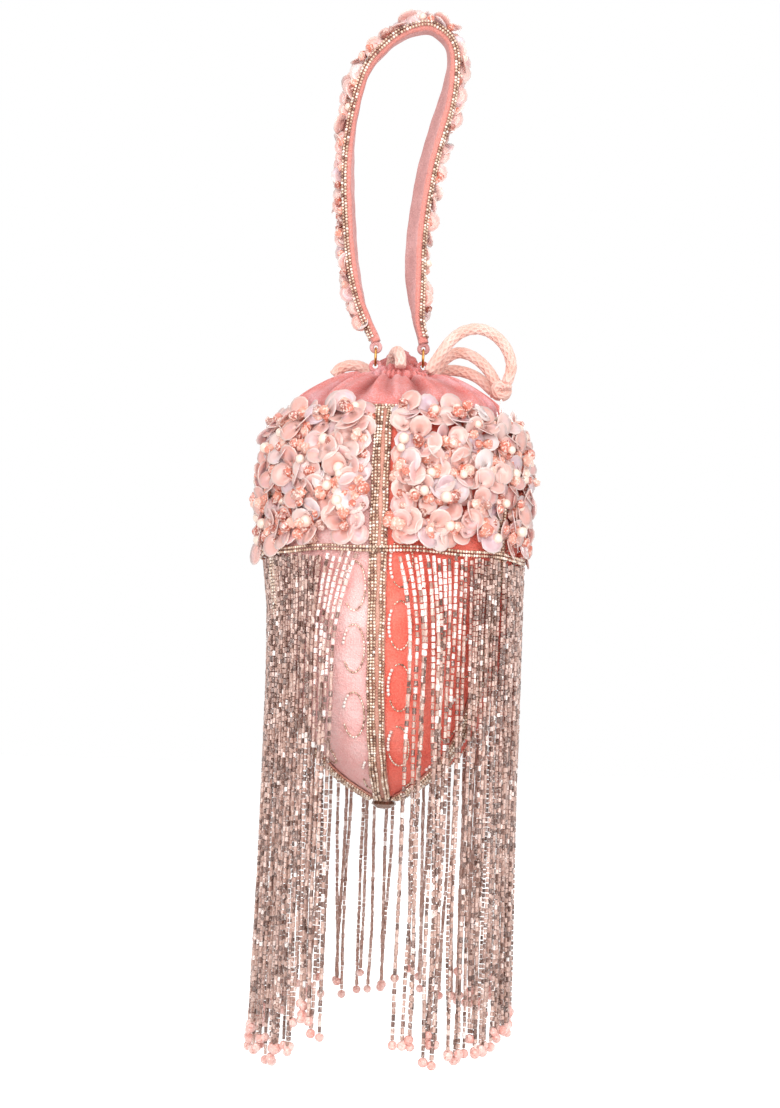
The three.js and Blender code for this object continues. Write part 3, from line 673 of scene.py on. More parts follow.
# A small bead with flattened ends
def seedBeadForm():
    bpy.ops.object.select_all(action="DESELECT")
    bpy.ops.mesh.primitive_uv_sphere_add(segments=7, ring_count=4, radius=1)
    piece = bpy.context.object
    for corner in piece.data.vertices:
        corner.co.z = math.copysign(min(abs(corner.co.z), 0.72), corner.co.z)
    bpy.ops.object.shade_smooth()
    return takeForm(piece)


petalShape = petalForm()
pearlShape = roundForm(12, 8)
crystalShape = crystalForm()
cutBeadShape = cutBeadForm()
seedShape = seedBeadForm()
endShape = roundForm(8, 5, smooth=False)
print("small forms modelled")


# Axes and sizes for seed beads threaded along a line of spots
def beadRow(spots, radius, half):
    along = headings(spots)
    side = np.cross([0.0, 1.0, 0.0], along)
    side /= np.linalg.norm(side, axis=1, keepdims=True) + 1e-12
    axes = np.stack([side, np.cross(along, side), along], 1)
    sizes = np.tile([radius, radius, half], (len(spots), 1))
    return axes, sizes * (1 + 0.12 * (rng.random((len(spots), 1)) - 0.5))


# Points at an even pitch along a line of points
def spaced(line, pitch):
    run = distances(line)
    return pointsAt(np.arange(pitch / 2, run[-1], pitch), run, line)


# One piece of seed beads threaded along several lines
def beadString(name, lines, radius, pitch, nodes=(), body="pouch", material=goldBead):
    spots = [spaced(line, pitch) for line in lines]
    spots = [row for row in spots if len(row) >= 3]
    axes, sizes = zip(*(beadRow(row, radius, pitch * 0.55) for row in spots))
    spots, axes, sizes = np.vstack(spots), np.vstack(axes), np.vstack(sizes)
    tones = np.clip(rng.normal(0.55, 0.28, len(spots)), 0, 1)
    beads = copies(name, seedShape, spots, axes, sizes, tones, material)
    dress(beads, body, None, nodes)


# Velvet gores below the band, each with a soft bulge between its seams
gore = {"columns": 24, "rows": 60, "bulge": 0.0009, "pucker": 0.0005, "wall": 0.0018, "top": 0.0003,
        "end": 0.992}


# Coral on the right half; on the left half the coral velvet is painted a paler rose, as painted sheen on the
# pile
def halfVelvet(number):
    return velvetCoral if number <= pouch["gores"] / 2 else velvetSheenRose


def makeGores():
    start = bandEnd + gore["top"]
    end = wallLength * gore["end"]
    for number in goreNumbers:
        def place(s, t):
            run = start + (end - start) * t
            bulge = gore["bulge"] * (np.sin(np.pi * s) ** 0.5) * np.sin(np.pi * t) ** 0.3
            edge = np.minimum(s, 1 - s)
            pucker = gore["pucker"] * np.exp(-edge * 14) * np.sin(run * 900 + number)
            radius, height = wallSpot(run, bulge - gore["bulge"] + pucker)
            return betweenSeams(number, s, radius, height)
        piece = drapedGrid(f"goreVelvet{number}", gore["columns"], gore["rows"], place, gore["wall"])
        dress(piece, "pouch", halfVelvet(number), [f"body_gore_{number}"])


makeGores()
print("gores done")


# Gathered shoulder and ruffle in one cloth
shoulder = {"gathers": 18, "columns": 648, "rows": 72, "wall": 0.0014, "depth": 0.0036, "crown": 0.0232,
            "frontSag": 0.0036}


# Radius and height of the cloth for each direction that it faces
def shoulderOutline(facing):
    rise = np.where(facing > 0, 0.0035 + 0.003 * facing ** 2, 0.0035 + 0.0145 * facing ** 2)
    flare = 0.0026 * np.abs(facing)
    top, neck, neckZ = pouch["bandTopZ"] + 0.0007, pouch["neckRadius"], pouch["neckZ"]
    span = pouch["bandTopRadius"] - neck
    crown = shoulder["crown"] - shoulder["frontSag"] * np.maximum(0, facing) ** 2
    points = [
        (pouch["bandTopRadius"] - 0.0006, top),
        (pouch["bandTopRadius"] - 0.0014, top + crown * 0.3),
        (neck + span * 0.83, top + crown * 0.54),
        (neck + span * 0.53, top + crown * 0.86),
        (neck + 0.0115, top + crown),
        (neck + 0.0058, neckZ - 0.00275),
        (neck + 0.0004, neckZ - 0.00375),
        (neck, neckZ + 0.001),
        (neck + flare * 0.55, neckZ + rise * 0.55),
        (neck + flare, neckZ + rise),
    ]
    return np.array([[value + 0 * facing for value in point] for point in points])


# Main and small folds, from 0 on a crest to 1 in a valley
def gatherFolds(angle, t):
    gather = (angle - pouch["firstSeam"]) / 360 * shoulder["gathers"] + 0.5
    drift = 0.16 * np.sin(np.radians(angle) * 5 + 3.2 * t) + 0.10 * np.sin(np.radians(angle) * 11 + 7 * t)
    main = 0.5 - 0.5 * np.cos(2 * np.pi * (gather + drift))
    small = 0.5 - 0.5 * np.cos(4 * np.pi * (gather + drift) + 1.3 + np.sin(np.radians(angle) * 7))
    uneven = 0.66 + 0.34 * np.sin(np.radians(angle) * 7 + 0.9) * np.cos(np.radians(angle) * 4 - 1.7)
    return main ** 2.2 * uneven, small ** 1.6


def makeShoulder():
    def place(s, t):
        angle = 360 * s
        facing = np.cos(np.radians(angle))
        outline = shoulderOutline(facing)
        last = len(outline) - 1
        padded = np.vstack([outline[:1], outline, outline[-1:]])
        span = np.clip((t * last).astype(int), 0, last - 1)
        part = (t * last - span)[:, None]
        each = np.arange(len(s))
        radius, height = onCurve(*(padded[span + i, :, each] for i in range(4)), part).T
        main, small = gatherFolds(angle, t)
        begin = np.clip(t / 0.16, 0, 1)
        ruffle = 0.0009 + 0.0006 * np.clip((t - 0.7) / 0.3, 0, 1)
        crease = np.where(t < 0.58, shoulder["depth"] * begin, ruffle) * (main + 0.30 * small)
        wave = 0.0008 * np.clip((t - 0.78) / 0.22, 0, 1) * np.sin(np.radians(angle) * 18 + 0.6)
        steep = np.clip(1 - t * 1.9, 0, 1)
        sideways = np.where(t > 0.58, 0.9, 0.25 + 0.55 * steep)
        upwards = np.where(t > 0.58, 0.0, 0.95 - 0.5 * steep)
        return around(angle, radius - crease * sideways + wave, height - crease * upwards)

    # Tone for the velvet: painted shade in the fold valleys, weaker near the band top and on the ruffle
    def tone(s, t):
        main, small = gatherFolds(360 * s, t)
        near = np.clip(t / 0.25, 0.15, 1) * np.where(t > 0.6, 0.45, 1)
        return np.clip(main ** 1.3 * 0.95 + small * 0.18, 0, 1) * near
    piece = drapedGrid("gatheredShoulder", shoulder["columns"], shoulder["rows"], place, shoulder["wall"],
                       tone=tone)
    names = [f"shoulder_gather_{number}" for number in goreNumbers]
    return dress(piece, "pouch", velvetGathered, names)


makeShoulder()
print("shoulder gathered")

# Band: padded velvet, then petals in loose flowers, pearls and crystals
band = {"wall": 0.0028, "across": 4, "down": 5, "petalsEach": 4, "loose": 14, "cluster": 4, "seamEdge": 0.02,
        "frontEdge": 0.09, "bare": 0.0042, "edging": 9, "fillers": 58, "pearls": 6, "columns": 28,
        "rows": 32, "dimple": 0.0004}


# Spots on the wall with their outward and downward directions
def onWall(angle, run, lift):
    radius, height = wallSpot(run, lift)
    ahead, below = wallSpot(run + 0.0005, lift)
    spots = around(angle, radius, height)
    down = around(angle, ahead, below) - spots
    down /= np.linalg.norm(down, axis=1, keepdims=True)
    turn = np.radians(angle)
    level = np.stack([np.cos(turn), np.sin(turn), np.zeros_like(turn)], 1)
    out = np.cross(level, down)
    facing = np.stack([np.sin(turn), -np.cos(turn), np.zeros_like(turn)], 1)
    out *= np.sign(np.sum(out * facing, 1))[:, None]
    return spots, out, down


def makeBandBase(number):
    def place(s, t):
        run = bandEnd * t
        dimple = band["dimple"] * np.sin(run * 420 + s * 3) * np.sin(s * 50 + number)
        radius, height = wallSpot(run, dimple - band["dimple"])
        return betweenSeams(number, s, radius, height)
    base = drapedGrid(f"bandVelvet{number}", band["columns"], band["rows"], place, band["wall"])
    dress(base, "pouch", halfVelvet(number), [f"band_panel_{number}"])


# Spots, outward and downward directions of two sets in one
def joined(first, second):
    return [np.vstack(pair) for pair in zip(first, second)]


def makeBandTrimmings(number):
    low = band["frontEdge"] if number == 1 else band["seamEdge"]
    high = band["frontEdge"] if number == pouch["gores"] else band["seamEdge"]

    def angleAt(share):
        return seamAngle(number) + pouch["goreAngle"] * (low + (1 - low - high) * share)

    def scattered(count, inset, top, end, lift):
        angle = angleAt(rng.uniform(inset, 1 - inset, count))
        return onWall(angle, bandEnd * rng.uniform(top, end, count), lift)

    def dressCopies(title, form, spots, axes, size, skin):
        made = copies(f"{title}{number}", form, spots, axes, size, rng.random(len(spots)), skin)
        dress(made, "pouch")
    column, row = (v.ravel() for v in np.meshgrid(np.arange(band["across"]), np.arange(band["down"])))
    across = (column + 0.5 + 0.25 * np.where(row % 2, 1, -1)) / band["across"] + rng.normal(0, 0.03, len(row))
    deep = (row + 0.38) / band["down"] + rng.normal(0, 0.022, len(row))
    runs = bandEnd * np.clip(0.02 + 0.93 * deep, 0.05, 0.93)
    hearts = onWall(angleAt(np.clip(across, 0.04, 0.96)), runs, 0.0006)
    each = band["petalsEach"]
    spin = np.repeat(rng.uniform(0, 360, len(row)), each) + np.tile(np.arange(each) * 360 / each, len(row))
    spin += rng.normal(0, 20, len(spin))
    loose = scattered(band["loose"], 0.02, 0.03, 0.93, 0.0028)
    spots, out, down = joined([np.repeat(part, each, 0) for part in hearts], loose)
    spin = np.concatenate([spin, rng.uniform(0, 360, band["loose"])])
    shift = rng.uniform(-0.0006, 0.0022, len(spin))
    rise = rng.uniform(6, 34, len(spin))
    rise[-band["loose"]:] -= 14
    if number in (1, pouch["gores"]):
        count = band["edging"]
        beside = pouch["firstSeam"] + (1 if number == 1 else -1) * rng.uniform(8.2, 9.8, count)
        runs = bandEnd * (0.02 + 0.94 * (np.arange(count) + 0.5) / count)
        spots, out, down = joined((spots, out, down), onWall(beside, runs, 0.0020))
        spin = np.concatenate([spin, rng.choice([0, 180], count) + rng.normal(0, 16, count)])
        shift = np.concatenate([shift, np.full(count, -petal["length"] / 2)])
        rise = np.concatenate([rise, rng.uniform(-4, 10, count)])
    upright = frames(out, -down)
    axes = turned(upright, spin, 2)
    feet = spots + axes[:, 1] * shift[:, None]
    tips = feet + axes[:, 1] * petal["length"]
    front = np.radians(pouch["firstSeam"])
    beside = (tips[:, 0] - pouch["axisX"]) * math.cos(front) + tips[:, 1] * math.sin(front)
    crossing = (np.abs(beside) < band["bare"]) & (tips[:, 1] < 0)
    axes = turned(upright, spin + np.where(crossing, 180, 0), 2)
    feet = spots + axes[:, 1] * shift[:, None]
    axes = turned(turned(axes, rise, 0), rng.normal(0, 9, len(spin)), 1)
    feet += out * rng.uniform(0.0004, 0.0018, (len(spin), 1))
    dressCopies("bandPetals", petalShape, feet, axes, rng.uniform(0.80, 1.12, (len(spin), 1)), petalSkin)

    bare = rng.random(len(row)) < 0.4
    pearlSpots = hearts[0][bare] + hearts[1][bare] * 0.0040 + rng.normal(0, 0.0016, (int(bare.sum()), 3))
    pearlSpots = np.vstack([pearlSpots, scattered(band["pearls"], 0.04, 0.06, 0.92, 0.0052)[0]])
    sizes = rng.uniform(0.0018, 0.0028, (len(pearlSpots), 1))
    dressCopies("bandPearls", pearlShape, pearlSpots, unturned(len(pearlSpots)), sizes, pearlSkin)

    spots, out, down = (np.repeat(part, band["cluster"], 0) for part in hearts)
    spots = spots + out * rng.uniform(0.0014, 0.0040, (len(spots), 1))
    spots += rng.normal(0, 0.0019, spots.shape)
    fillers = scattered(band["fillers"], 0, 0.02, 0.95, 0.0024)
    spots, out, down = joined((spots, out, down), fillers)
    axes = turned(frames(out, down), rng.uniform(0, 360, len(out)), 2)
    axes = turned(axes, rng.uniform(-60, 60, len(out)), 0)
    sizes = rng.uniform(0.0022, 0.0033, (len(out), 1))
    dressCopies("bandCrystals", crystalShape, spots, axes, sizes, crystalSkin)


for number in goreNumbers:
    makeBandBase(number)
    makeBandTrimmings(number)
print("band dressed")

# Beaded tapes over the seams: three and two rows of beads on a strip of velvet
tape = {"half": 0.0040, "rowsAt": (-0.0037, -0.0023, -0.0009, 0.0018, 0.0032), "bead": 0.00078,
        "pitch": 0.0015, "lift": 0.0014, "top": 0.0012, "end": 0.985, "wall": 0.0005}


def makeSeamTapes():
    top, end = tape["top"], wallLength * tape["end"]
    runs = np.linspace(top, end, 260)
    halfGore = math.radians(pouch["goreAngle"]) / 2
    for number in goreNumbers:
        seam = seamAngle(number)
        radius, _ = wallSpot(runs, tape["lift"])
        room = np.minimum(1.0, (halfGore * radius - 0.0006) / tape["half"])
        lines = []
        for offset in tape["rowsAt"]:
            r, z = wallSpot(runs, tape["lift"] + (0.0004 if abs(offset) < 0.003 else 0))
            wander = 0.0002 * np.sin(runs * 260 + offset * 900)
            lines.append(around(seam + np.degrees((offset * room + wander) / r), r, z))
        beadString(f"seamBeads{number}", lines, tape["bead"], tape["pitch"], [f"seam_trim_{number}"])

        def place(s, t):
            run = top + (end - top) * t
            base, _ = wallSpot(run, 0)
            half = np.minimum(tape["half"], halfGore * base - 0.0004)
            r, z = wallSpot(run, 0.0006 + 0.0005 * np.sin(np.pi * s) ** 0.5)
            return around(seam + np.degrees(half * (2 * s - 1) / r), r, z)
        strip = drapedGrid(f"seamVelvet{number}", 8, 90, place, tape["wall"])
        dress(strip, "pouch", velvetSeam)


makeSeamTapes()


# Horizontal trims above and below the band
def makeBandTrims():
    turn = np.linspace(0, 360, 700)
    low = pouch["bandBottomZ"] - 0.0002
    reach = pouch["bandRadius"] + 0.0030
    dip = 0.0004 * np.sin(np.radians(turn) * 9)
    lines = [around(turn, reach, low + step + dip) for step in (0.0009, -0.0008)]
    beadString("bandBottomBeads", lines, 0.00080, tape["pitch"], ["band_bottom_trim"])
    top, reach = pouch["bandTopZ"] + 0.0010, pouch["bandTopRadius"]
    lines = [around(turn, reach + out, top - drop) for out, drop in ((0.0007, 0), (0.0016, 0.0013))]
    beadString("bandTopBeads", lines, tape["bead"], tape["pitch"], ["band_top_trim"])


makeBandTrims()
print("trims threaded")

# Fringe: strands of six sided beads, each ending in a salmon bead
fringe = {"radius": 0.0628, "top": -0.2546, "stray": 0.0050, "beadRadius": 0.00077, "beadHalf": 0.00112,
          "pitch": 0.00236, "endRadius": 0.0023, "endDrop": 0.0036, "leftTop": 5.5, "leftLow": 15.5,
          "rightTop": 8.8, "rightLow": 15.4, "parted": 0.22, "reach": 36.0, "leftPull": 0.0050,
          "inset": 0.0013, "gap": (38.6, 41.2), "large": 1.28, "largeWithin": (-26, 36),
          "paleWithin": (-25, 37), "backFrom": 140,
          "pitches": ((-26, 0, 0.0033), (0, 38, 0.0029), (-146, 146, 0.00212), (-180, 180, 0.0045)),
          "hem": [(-180, 0.212), (-140, 0.214), (-100, 0.226), (-80, 0.233), (-45, 0.2325), (-33, 0.212),
                  (-26, 0.207), (-20, 0.2215), (0, 0.2215), (24, 0.2245), (40, 0.2275), (60, 0.222),
                  (85, 0.2155), (130, 0.214), (180, 0.212)]}


# Distance between strands for each direction, in degrees from the front seam
def strandPitch(away):
    return next(pitch for low, high, pitch in fringe["pitches"] if low <= away <= high)


def strandAngles(number):
    first, last = pouch["goreAngle"] * (number - 1), pouch["goreAngle"] * number
    inset = math.degrees(fringe["inset"] / fringe["radius"])
    place = first + (fringe["rightTop"] if number == 1 else inset)
    end = last - (fringe["leftTop"] if number == pouch["gores"] else inset)
    places = []
    while place < end:
        places.append(place)
        pitch = strandPitch(wrapped(place))
        place += math.degrees(pitch / fringe["radius"]) * rng.uniform(0.72, 1.28)
        if fringe["gap"][0] < place < fringe["gap"][1]:
            place = fringe["gap"][1]
    return [pouch["firstSeam"] + value for value in places]


# Sweeps the strands beside the front seam aside as they fall
def partedAngle(angle, share):
    offset = wrapped(angle - pouch["firstSeam"])
    right = offset > 0
    start = np.where(right, fringe["rightTop"], fringe["leftTop"])
    low = np.where(right, fringe["rightLow"], fringe["leftLow"])
    ease = np.clip(share / fringe["parted"], 0, 1)
    opened = start + (low - start) * ease * (2 - ease)
    away = np.abs(offset)
    moved = opened + (away - start) * (fringe["reach"] - opened) / (fringe["reach"] - start)
    return np.where(away > fringe["reach"], angle, pouch["firstSeam"] + np.sign(offset) * moved)


def strandLength(angle):
    places, lengths = zip(*fringe["hem"])
    mean = float(np.interp(wrapped(angle), places, lengths))
    return mean + fringe["stray"] * rng.uniform(-1, 1) - 0.012 * rng.random() ** 6


def makeStrand(angle):
    length = strandLength(angle)
    away = wrapped(angle - pouch["firstSeam"])
    large = fringe["large"] if fringe["largeWithin"][0] < away < fringe["largeWithin"][1] else 1
    pitch = fringe["pitch"] * large * rng.uniform(0.94, 1.06)
    drops = np.arange(rng.uniform(0, pitch), length - 0.004, pitch)
    share = drops / length
    wave = rng.uniform(14, 46, 2)
    sway = 0.0009 * np.sin(drops * wave[0] + rng.uniform(0, 6)) * np.sqrt(share)
    sway += rng.normal(0, 0.0017) * share ** 1.3 + np.cumsum(rng.normal(0, 0.00006, len(drops)))
    depth = rng.normal(0, 0.0009) * share + 0.0006 * np.sin(drops * wave[1] + rng.uniform(0, 6)) * share
    left = max(0.0, -math.sin(math.radians(angle))) ** 1.5
    pulled = fringe["leftPull"] * left * np.interp(share, [0, 0.1, 0.25, 0.6, 1], [0.3, 0.85, 1, 0.9, 0.55])
    radius = fringe["radius"] + depth - pulled
    line = around(partedAngle(angle, share) + np.degrees(sway / radius), radius, fringe["top"] - drops)
    along = headings(line)
    side = np.cross(along, [0.0, 1.0, 0.0])
    side /= np.linalg.norm(side, axis=1, keepdims=True)
    axes = np.stack([side, np.cross(along, side), along], 1)
    axes = turned(axes, rng.uniform(0, 60) + rng.normal(0, 14, len(along)), 2)
    axes = turned(axes, rng.normal(0, 5, len(along)), 0)
    grow = rng.uniform(0.86, 1.18, len(along)) * large ** 0.4
    tall = fringe["beadHalf"] * large * rng.uniform(0.78, 1.02, len(along))
    if abs(away) > fringe["backFrom"]:
        grow, tall = grow * 1.12, tall * 1.14
    sizes = np.column_stack([fringe["beadRadius"] * grow, fringe["beadRadius"] * grow, tall])
    return line, axes, sizes, share, line[-1] + along[-1] * fringe["endDrop"]


# Whitish beads show over the velvet beside the seam; brown, taupe and pale ones are mixed elsewhere, with a
# few whitish ones everywhere as painted glints
def strandTones(angle, share):
    away = wrapped(angle - pouch["firstSeam"])
    front = fringe["paleWithin"][0] < away < fringe["paleWithin"][1]
    bright = 0.80 * float(front) * np.clip(1.15 - share * 3.2, 0, 1) ** 1.4 + 0.045
    dark = rng.random(len(share)) < 0.38
    plain = np.where(dark, rng.uniform(0, 0.22, len(share)), rng.uniform(0.32, 0.8, len(share)))
    if abs(away) > fringe["backFrom"]:
        plain = 0.25 + 0.4 * rng.beta(3, 3, len(share))
    return np.where(rng.random(len(share)) < bright, rng.uniform(0.84, 1, len(share)), plain)


def makeFringe():
    for number in goreNumbers:
        strands, tones = [], []
        for angle in strandAngles(number):
            line, turns, scales, share, tip = makeStrand(angle)
            strands.append((line, turns, scales, tip))
            tones.append(strandTones(angle, share))
        spots, axes, sizes, ends = (np.vstack(parts) for parts in zip(*strands))
        piece = copies(f"fringeBeads{number}", cutBeadShape, spots, axes, sizes, np.concatenate(tones),
                       fringeBead)
        dress(piece, "pouch", None, [f"fringe_{number}"])
        axes = turned(unturned(len(ends)), rng.uniform(0, 60, len(ends)), 2)
        sizes = fringe["endRadius"] * rng.uniform(0.9, 1.08, (len(ends), 1))
        piece = copies(f"fringeEnds{number}", endShape, ends, axes, sizes, rng.random(len(ends)), endBead)
        dress(piece, "pouch")


makeFringe()
print("fringe strung")

# Chains of ovals on the velvet on both sides of every seam, in gold and pale beads
motif = {"rightDrops": (0.006, 0.034, 0.062, 0.089), "leftDrops": (0.017, 0.045, 0.075, 0.103),
         "height": 0.0220, "width": 0.0102, "offset": 0.0106, "lift": 0.0008, "bead": 0.00050,
         "pitch": 0.0015, "paleBead": 0.00085, "palePitch": 0.0019}


def makeMotifs():
    for number in goreNumbers:
        gold, pale = [], []
        for side, drops in ((-1, motif["leftDrops"]), (1, motif["rightDrops"])):
            for i, drop in enumerate(drops):
                centre = runAtHeight(pouch["bandBottomZ"] - drop)
                room = np.clip((wallSpot(centre)[0] - 0.010) / 0.030, 0.3, 1)
                for first, last, store in ((0.38, 0.58 if side > 0 else 0.5, pale), (0.62, 1.36, gold)):
                    turn = 2 * math.pi * (np.linspace(first, last, 60) * side + 0.03 * i)
                    run = centre + motif["height"] / 2 * np.sin(turn)
                    r, z = wallSpot(run, motif["lift"])
                    across = side * motif["offset"] * room + motif["width"] / 2 * room * np.cos(turn)
                    store.append(around(seamAngle(number) + np.degrees(across / r), r, z))
        beadString(f"motifGold{number}", gold, motif["bead"], motif["pitch"])
        beadString(f"motifPale{number}", pale, motif["paleBead"], motif["palePitch"], material=whiteBead)


makeMotifs()
print("motifs stitched")

# Wrist strap
strap = {"width": 0.015, "foot": 0.006, "thick": 0.0045, "twistLeft": 6.0, "twistTop": -12.0,
         "twistRight": 25.0, "reach": 0.0294, "drop": 0.155, "footZ": -0.148, "stitch": 0.0026,
         "bead": 0.00078, "pitch": 0.0015, "petals": 150, "stones": 110, "pearlSize": 0.0019,
         "crystalSize": 0.0023}


def smoothStep(value, low, high):
    share = np.clip((value - low) / (high - low), 0, 1)
    return share * share * (3 - 2 * share)


def strapLine():
    reach, drop = strap["reach"], strap["drop"]
    left, right = pouch["axisX"] - pouch["ringHalf"], pouch["axisX"] + pouch["ringHalf"]
    top = strap["thick"] / 2
    points = [
        (left, 0, strap["footZ"]), (-0.74 * reach, 0, -0.83 * drop), (-0.92 * reach, 0, -0.64 * drop),
        (-reach, 0, -0.36 * drop), (-0.84 * reach, 0, -0.145 * drop), (-0.43 * reach, 0, -0.035 * drop),
        (0, 0, top), (0.34 * reach, 0, 0.9 * top), (0.61 * reach, 0, -0.05 * drop),
        (0.56 * reach, 0, -0.18 * drop), (0.25 * reach, 0, -0.42 * drop), (0.11 * reach, 0, -0.67 * drop),
        (0.19 * reach, 0, -0.86 * drop), (right, 0, strap["footZ"])]
    line = throughPoints(points, 900)
    run = distances(line)
    return line, run / run[-1], run[-1]


strapPoints, strapShares, strapLength = strapLine()


# Point, width direction, outward face, heading and width at a share of the strap's length
def strapFrame(share):
    places = [np.clip(share + step, 0, 1) for step in (0, 0.004, -0.004)]
    point, ahead, behind = (pointsAt(place, strapShares, strapPoints) for place in places)
    way = ahead - behind
    way /= np.linalg.norm(way, axis=-1, keepdims=True)
    out = np.stack([-way[..., 2], np.zeros_like(share), way[..., 0]], -1)
    near = np.minimum(share, 1 - share)
    onLeft, onRight = 1 - smoothStep(share, 0.22, 0.4), smoothStep(share, 0.5, 0.68)
    twist = (strap["twistTop"] + (strap["twistLeft"] - strap["twistTop"]) * onLeft
             + (strap["twistRight"] - strap["twistTop"]) * onRight)
    lean = np.radians(twist * smoothStep(near, 0, 0.12))[..., None]
    across = np.array([0.0, 1.0, 0.0]) * np.cos(lean) - out * np.sin(lean)
    face = out * np.cos(lean) + np.array([0.0, 1.0, 0.0]) * np.sin(lean)
    width = strap["foot"] + (strap["width"] - strap["foot"]) * smoothStep(near, 0, 0.07)
    return point, across, face, way, width


def makeStrap():
    def place(s, t):
        point, across, face, _, width = strapFrame(t)
        turn = 2 * np.pi * s
        c, n = np.cos(turn), np.sin(turn)
        run = t * strapLength
        stitch = 0.00010 * np.abs(c) ** 6 * np.sin(run * 2 * np.pi / strap["stitch"] + np.sign(c))
        w = np.sign(c) * np.abs(c) ** 0.5 * width / 2 + np.sign(c) * stitch
        puff = 1 + 0.04 * np.sin(t * 190) + 0.03 * np.sin(t * 77 + c)
        h = np.sign(n) * np.abs(n) ** 0.7 * strap["thick"] / 2 * puff
        return point + across * w[:, None] + face * h[:, None]

    def tone(s, t):
        turn = 2 * np.pi * s
        rim = np.clip((np.abs(np.cos(turn)) ** 0.5 - 0.80) / 0.10, 0, 1)
        return rim * (0.88 + 0.12 * np.sin(t * strapLength * 2 * np.pi / strap["stitch"]))
    piece = drapedGrid("strapVelvet", 48, 760, place, caps=True, tone=tone)
    dress(piece, "handle", velvetStrap, ["handle_strap"])
    for side, sign in (("Front", -1), ("Back", 1)):
        share = np.linspace(0.006, 0.994, 800)
        point, across, face, _, width = strapFrame(share)
        lines = [point + across * (sign * (width / 2 + 0.0007))[:, None] + face * 0.0008,
                 point + across * (sign * (width / 2 - 0.0001))[:, None] + face * 0.0023]
        node = f"handle_trim_{side.lower()}"
        beadString(f"strapBeads{side}", lines, strap["bead"], strap["pitch"], [node], "handle")


makeStrap()


def makeStrapPetals():
    def spread(count, low, high):
        share = np.clip(np.linspace(0.030, 0.948, count) + rng.normal(0, 0.003, count), 0.026, 0.950)
        point, across, face, way, width = strapFrame(share)
        spots = point + across * (rng.uniform(low, high, count) * width)[:, None]
        return spots, face, way
    count = strap["petals"]
    spots, face, way = spread(count, -0.40, 0.40)
    axes = turned(frames(face, way), rng.uniform(0, 360, count), 2)
    feet = spots + face * (strap["thick"] / 2 * 0.85 + rng.uniform(0, 0.0016, (count, 1)))
    feet -= axes[:, 1] * rng.uniform(0.001, 0.0055, (count, 1))
    axes = turned(turned(axes, rng.uniform(2, 38, count), 0), rng.normal(0, 14, count), 1)
    stood = rng.random(count) < 0.55
    rise, sway = rng.uniform(20, 75, count), rng.choice([-1, 1], count)
    upright = frames(np.tile([0.0, -1.0, 0.0], (count, 1)), face)
    leaning = turned(turned(upright, sway * (90 - rise), 2), rng.normal(0, 16, count), 0)
    axes[stood] = leaning[stood]
    edge = spots + face * (strap["thick"] / 2) - axes[:, 1] * 0.0035
    feet[stood] = edge[stood]
    sizes = rng.uniform(0.72, 0.98, (count, 1))
    made = copies("strapPetals", petalShape, feet, axes, sizes, rng.random(count), petalSkin)
    dress(made, "handle")

    count = strap["stones"]
    spots, face, way = spread(count, -0.46, 0.46)
    spots = spots + face * (strap["thick"] / 2 + rng.uniform(0.0008, 0.0034, (count, 1)))
    pearl = rng.random(count) < 0.22
    pearls, cut = int(pearl.sum()), ~pearl
    sizes = np.full((pearls, 1), strap["pearlSize"])
    made = copies("strapPearls", pearlShape, spots[pearl], unturned(pearls), sizes, rng.random(pearls),
                  pearlSkin)
    dress(made, "handle")
    crystals = count - pearls
    axes = turned(frames(face[cut], way[cut]), rng.uniform(0, 360, crystals), 0)
    sizes = np.full((crystals, 1), strap["crystalSize"])
    made = copies("strapCrystals", crystalShape, spots[cut], axes, sizes, rng.random(crystals), crystalSkin)
    dress(made, "handle")


makeStrapPetals()
print("strap made")


# Rings, and the velvet loops that hold them; radii and segments of each
ring = {"major": 0.004, "minor": 0.0006, "segments": 48}
loop = {"major": 0.0020, "minor": 0.00105, "segments": 28, "rise": 0.0045}


def makeTorus(name, size, spot, rotation):
    bpy.ops.object.select_all(action="DESELECT")
    bpy.ops.mesh.primitive_torus_add(location=spot, rotation=rotation,
                                     major_radius=size["major"], minor_radius=size["minor"],
                                     major_segments=size["segments"], minor_segments=12)
    piece = bpy.context.object
    piece.name = piece.data.name = name
    bpy.ops.object.shade_smooth()
    settle(piece)
    return piece


def makeRings():
    quarter = math.pi / 2
    for side, sign in (("left", -1), ("right", 1)):
        x, z = pouch["axisX"] + sign * pouch["ringHalf"], pouch["ringZ"]
        made = makeTorus(f"{side}Ring", ring, (x, 0, z), (0, quarter, 0))
        dress(made, "handle", goldSkin, [f"ring_{side}"])
        made = makeTorus(f"{side}StrapLoop", loop, (x, 0, z + loop["rise"]), (quarter, 0, 0))
        dress(made, "handle", velvetStrap)


makeRings()


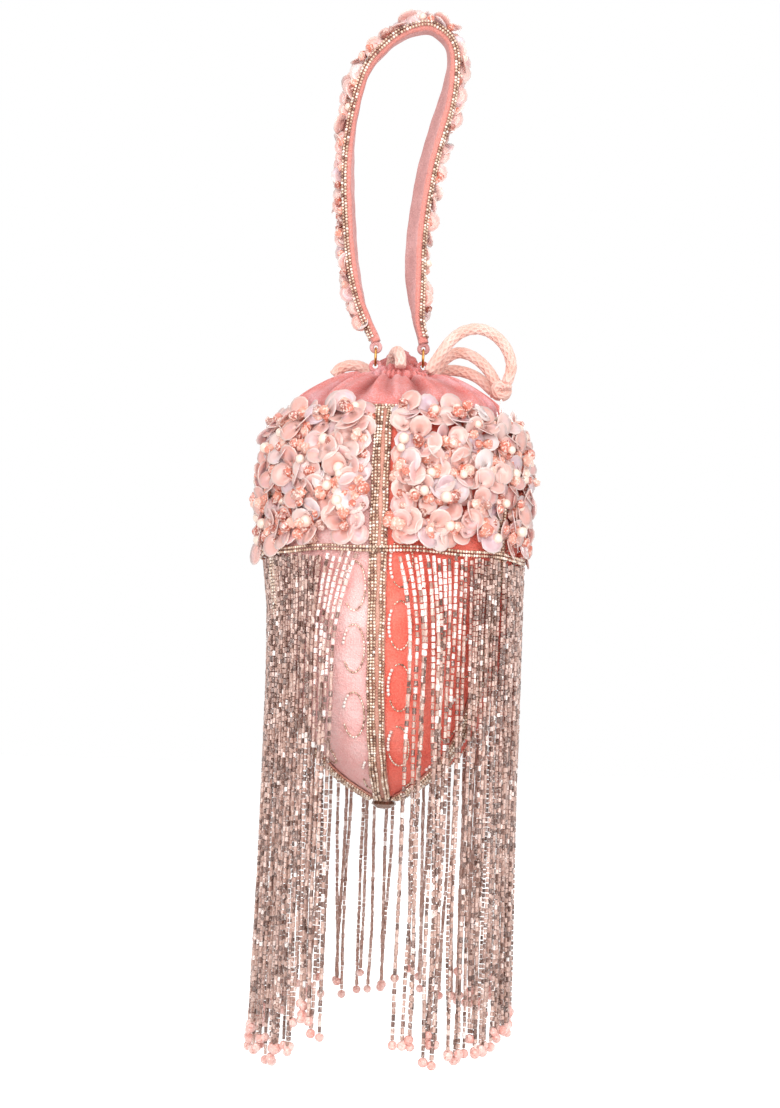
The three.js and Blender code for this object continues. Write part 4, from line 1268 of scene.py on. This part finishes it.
# Carried-over solids: tabs, lining and the button at the tip
def finishCadNodes():
    for node, material in (("tab_left", velvetGathered), ("tab_right", velvetGathered), ("lining", satinSkin),
                           ("tip_button", goldBead)):
        solid = bpy.data.objects[node]
        for slot in solid.material_slots:
            slot.material = material


finishCadNodes()


# Pale ground and soft lamps
stage = {"floor": -0.53, "size": 12, "glow": 0.55, "world": 0.62, "aim": (0, 0, -0.25), "lamps": [
    ((-0.55, -1.7, 0.10), 1.2, 15), ((0.75, -1.6, -0.15), 1.2, 12), ((0.1, -0.9, 1.2), 1.2, 8),
    ((0.2, 1.5, 0.3), 1.2, 9)]}


# 1 where the camera looks at the background itself, or through glass and in metal
def seenDirectly(finish):
    seen = finish.node("ShaderNodeLightPath", output="Is Camera Ray")
    for ray in ("Is Glossy Ray", "Is Transmission Ray"):
        seen = seen.maths("MAXIMUM", finish.node("ShaderNodeLightPath", output=ray))
    return seen


def makeStage():
    bpy.ops.object.select_all(action="DESELECT")
    bpy.ops.mesh.primitive_plane_add(size=stage["size"], location=(0, 0, stage["floor"]))
    ground = bpy.context.object
    ground.name = "paleGround"
    finish = Finish("palePaper")
    glow = finish.mix(seenDirectly(finish), (0, 0, 0), (1, 1, 1))
    finish.set(Base_Color=(0.8, 0.8, 0.8), Roughness=0.9, Emission_Color=glow,
               Emission_Strength=stage["glow"])
    ground.data.materials.append(finish.material)
    room = bpy.data.worlds.new("paleRoom")
    bpy.context.scene.world = room
    air = Finish("paleRoom", room)
    air.set(Color=(1, 1, 1), Strength=stage["world"])
    shown = air.node("ShaderNodeBackground", None, {"Color": (1, 1, 1), "Strength": 1.0})
    lit = Wire(air, air.shader.outputs[0])
    mixed = air.node("ShaderNodeMixShader", None, {0: seenDirectly(air), 1: lit, 2: shown})
    air.feed(air.tree.nodes["World Output"].inputs["Surface"], mixed)
    for spot, size, power in stage["lamps"]:
        bpy.ops.object.light_add(type="AREA", location=spot)
        lamp = bpy.context.object
        lamp.data.size, lamp.data.energy = size, power
        aim = Vector(stage["aim"]) - Vector(spot)
        lamp.rotation_euler = aim.to_track_quat("-Z", "Y").to_euler()
    bpy.context.scene.view_settings.view_transform = "Standard"


makeStage()
print("stage set")
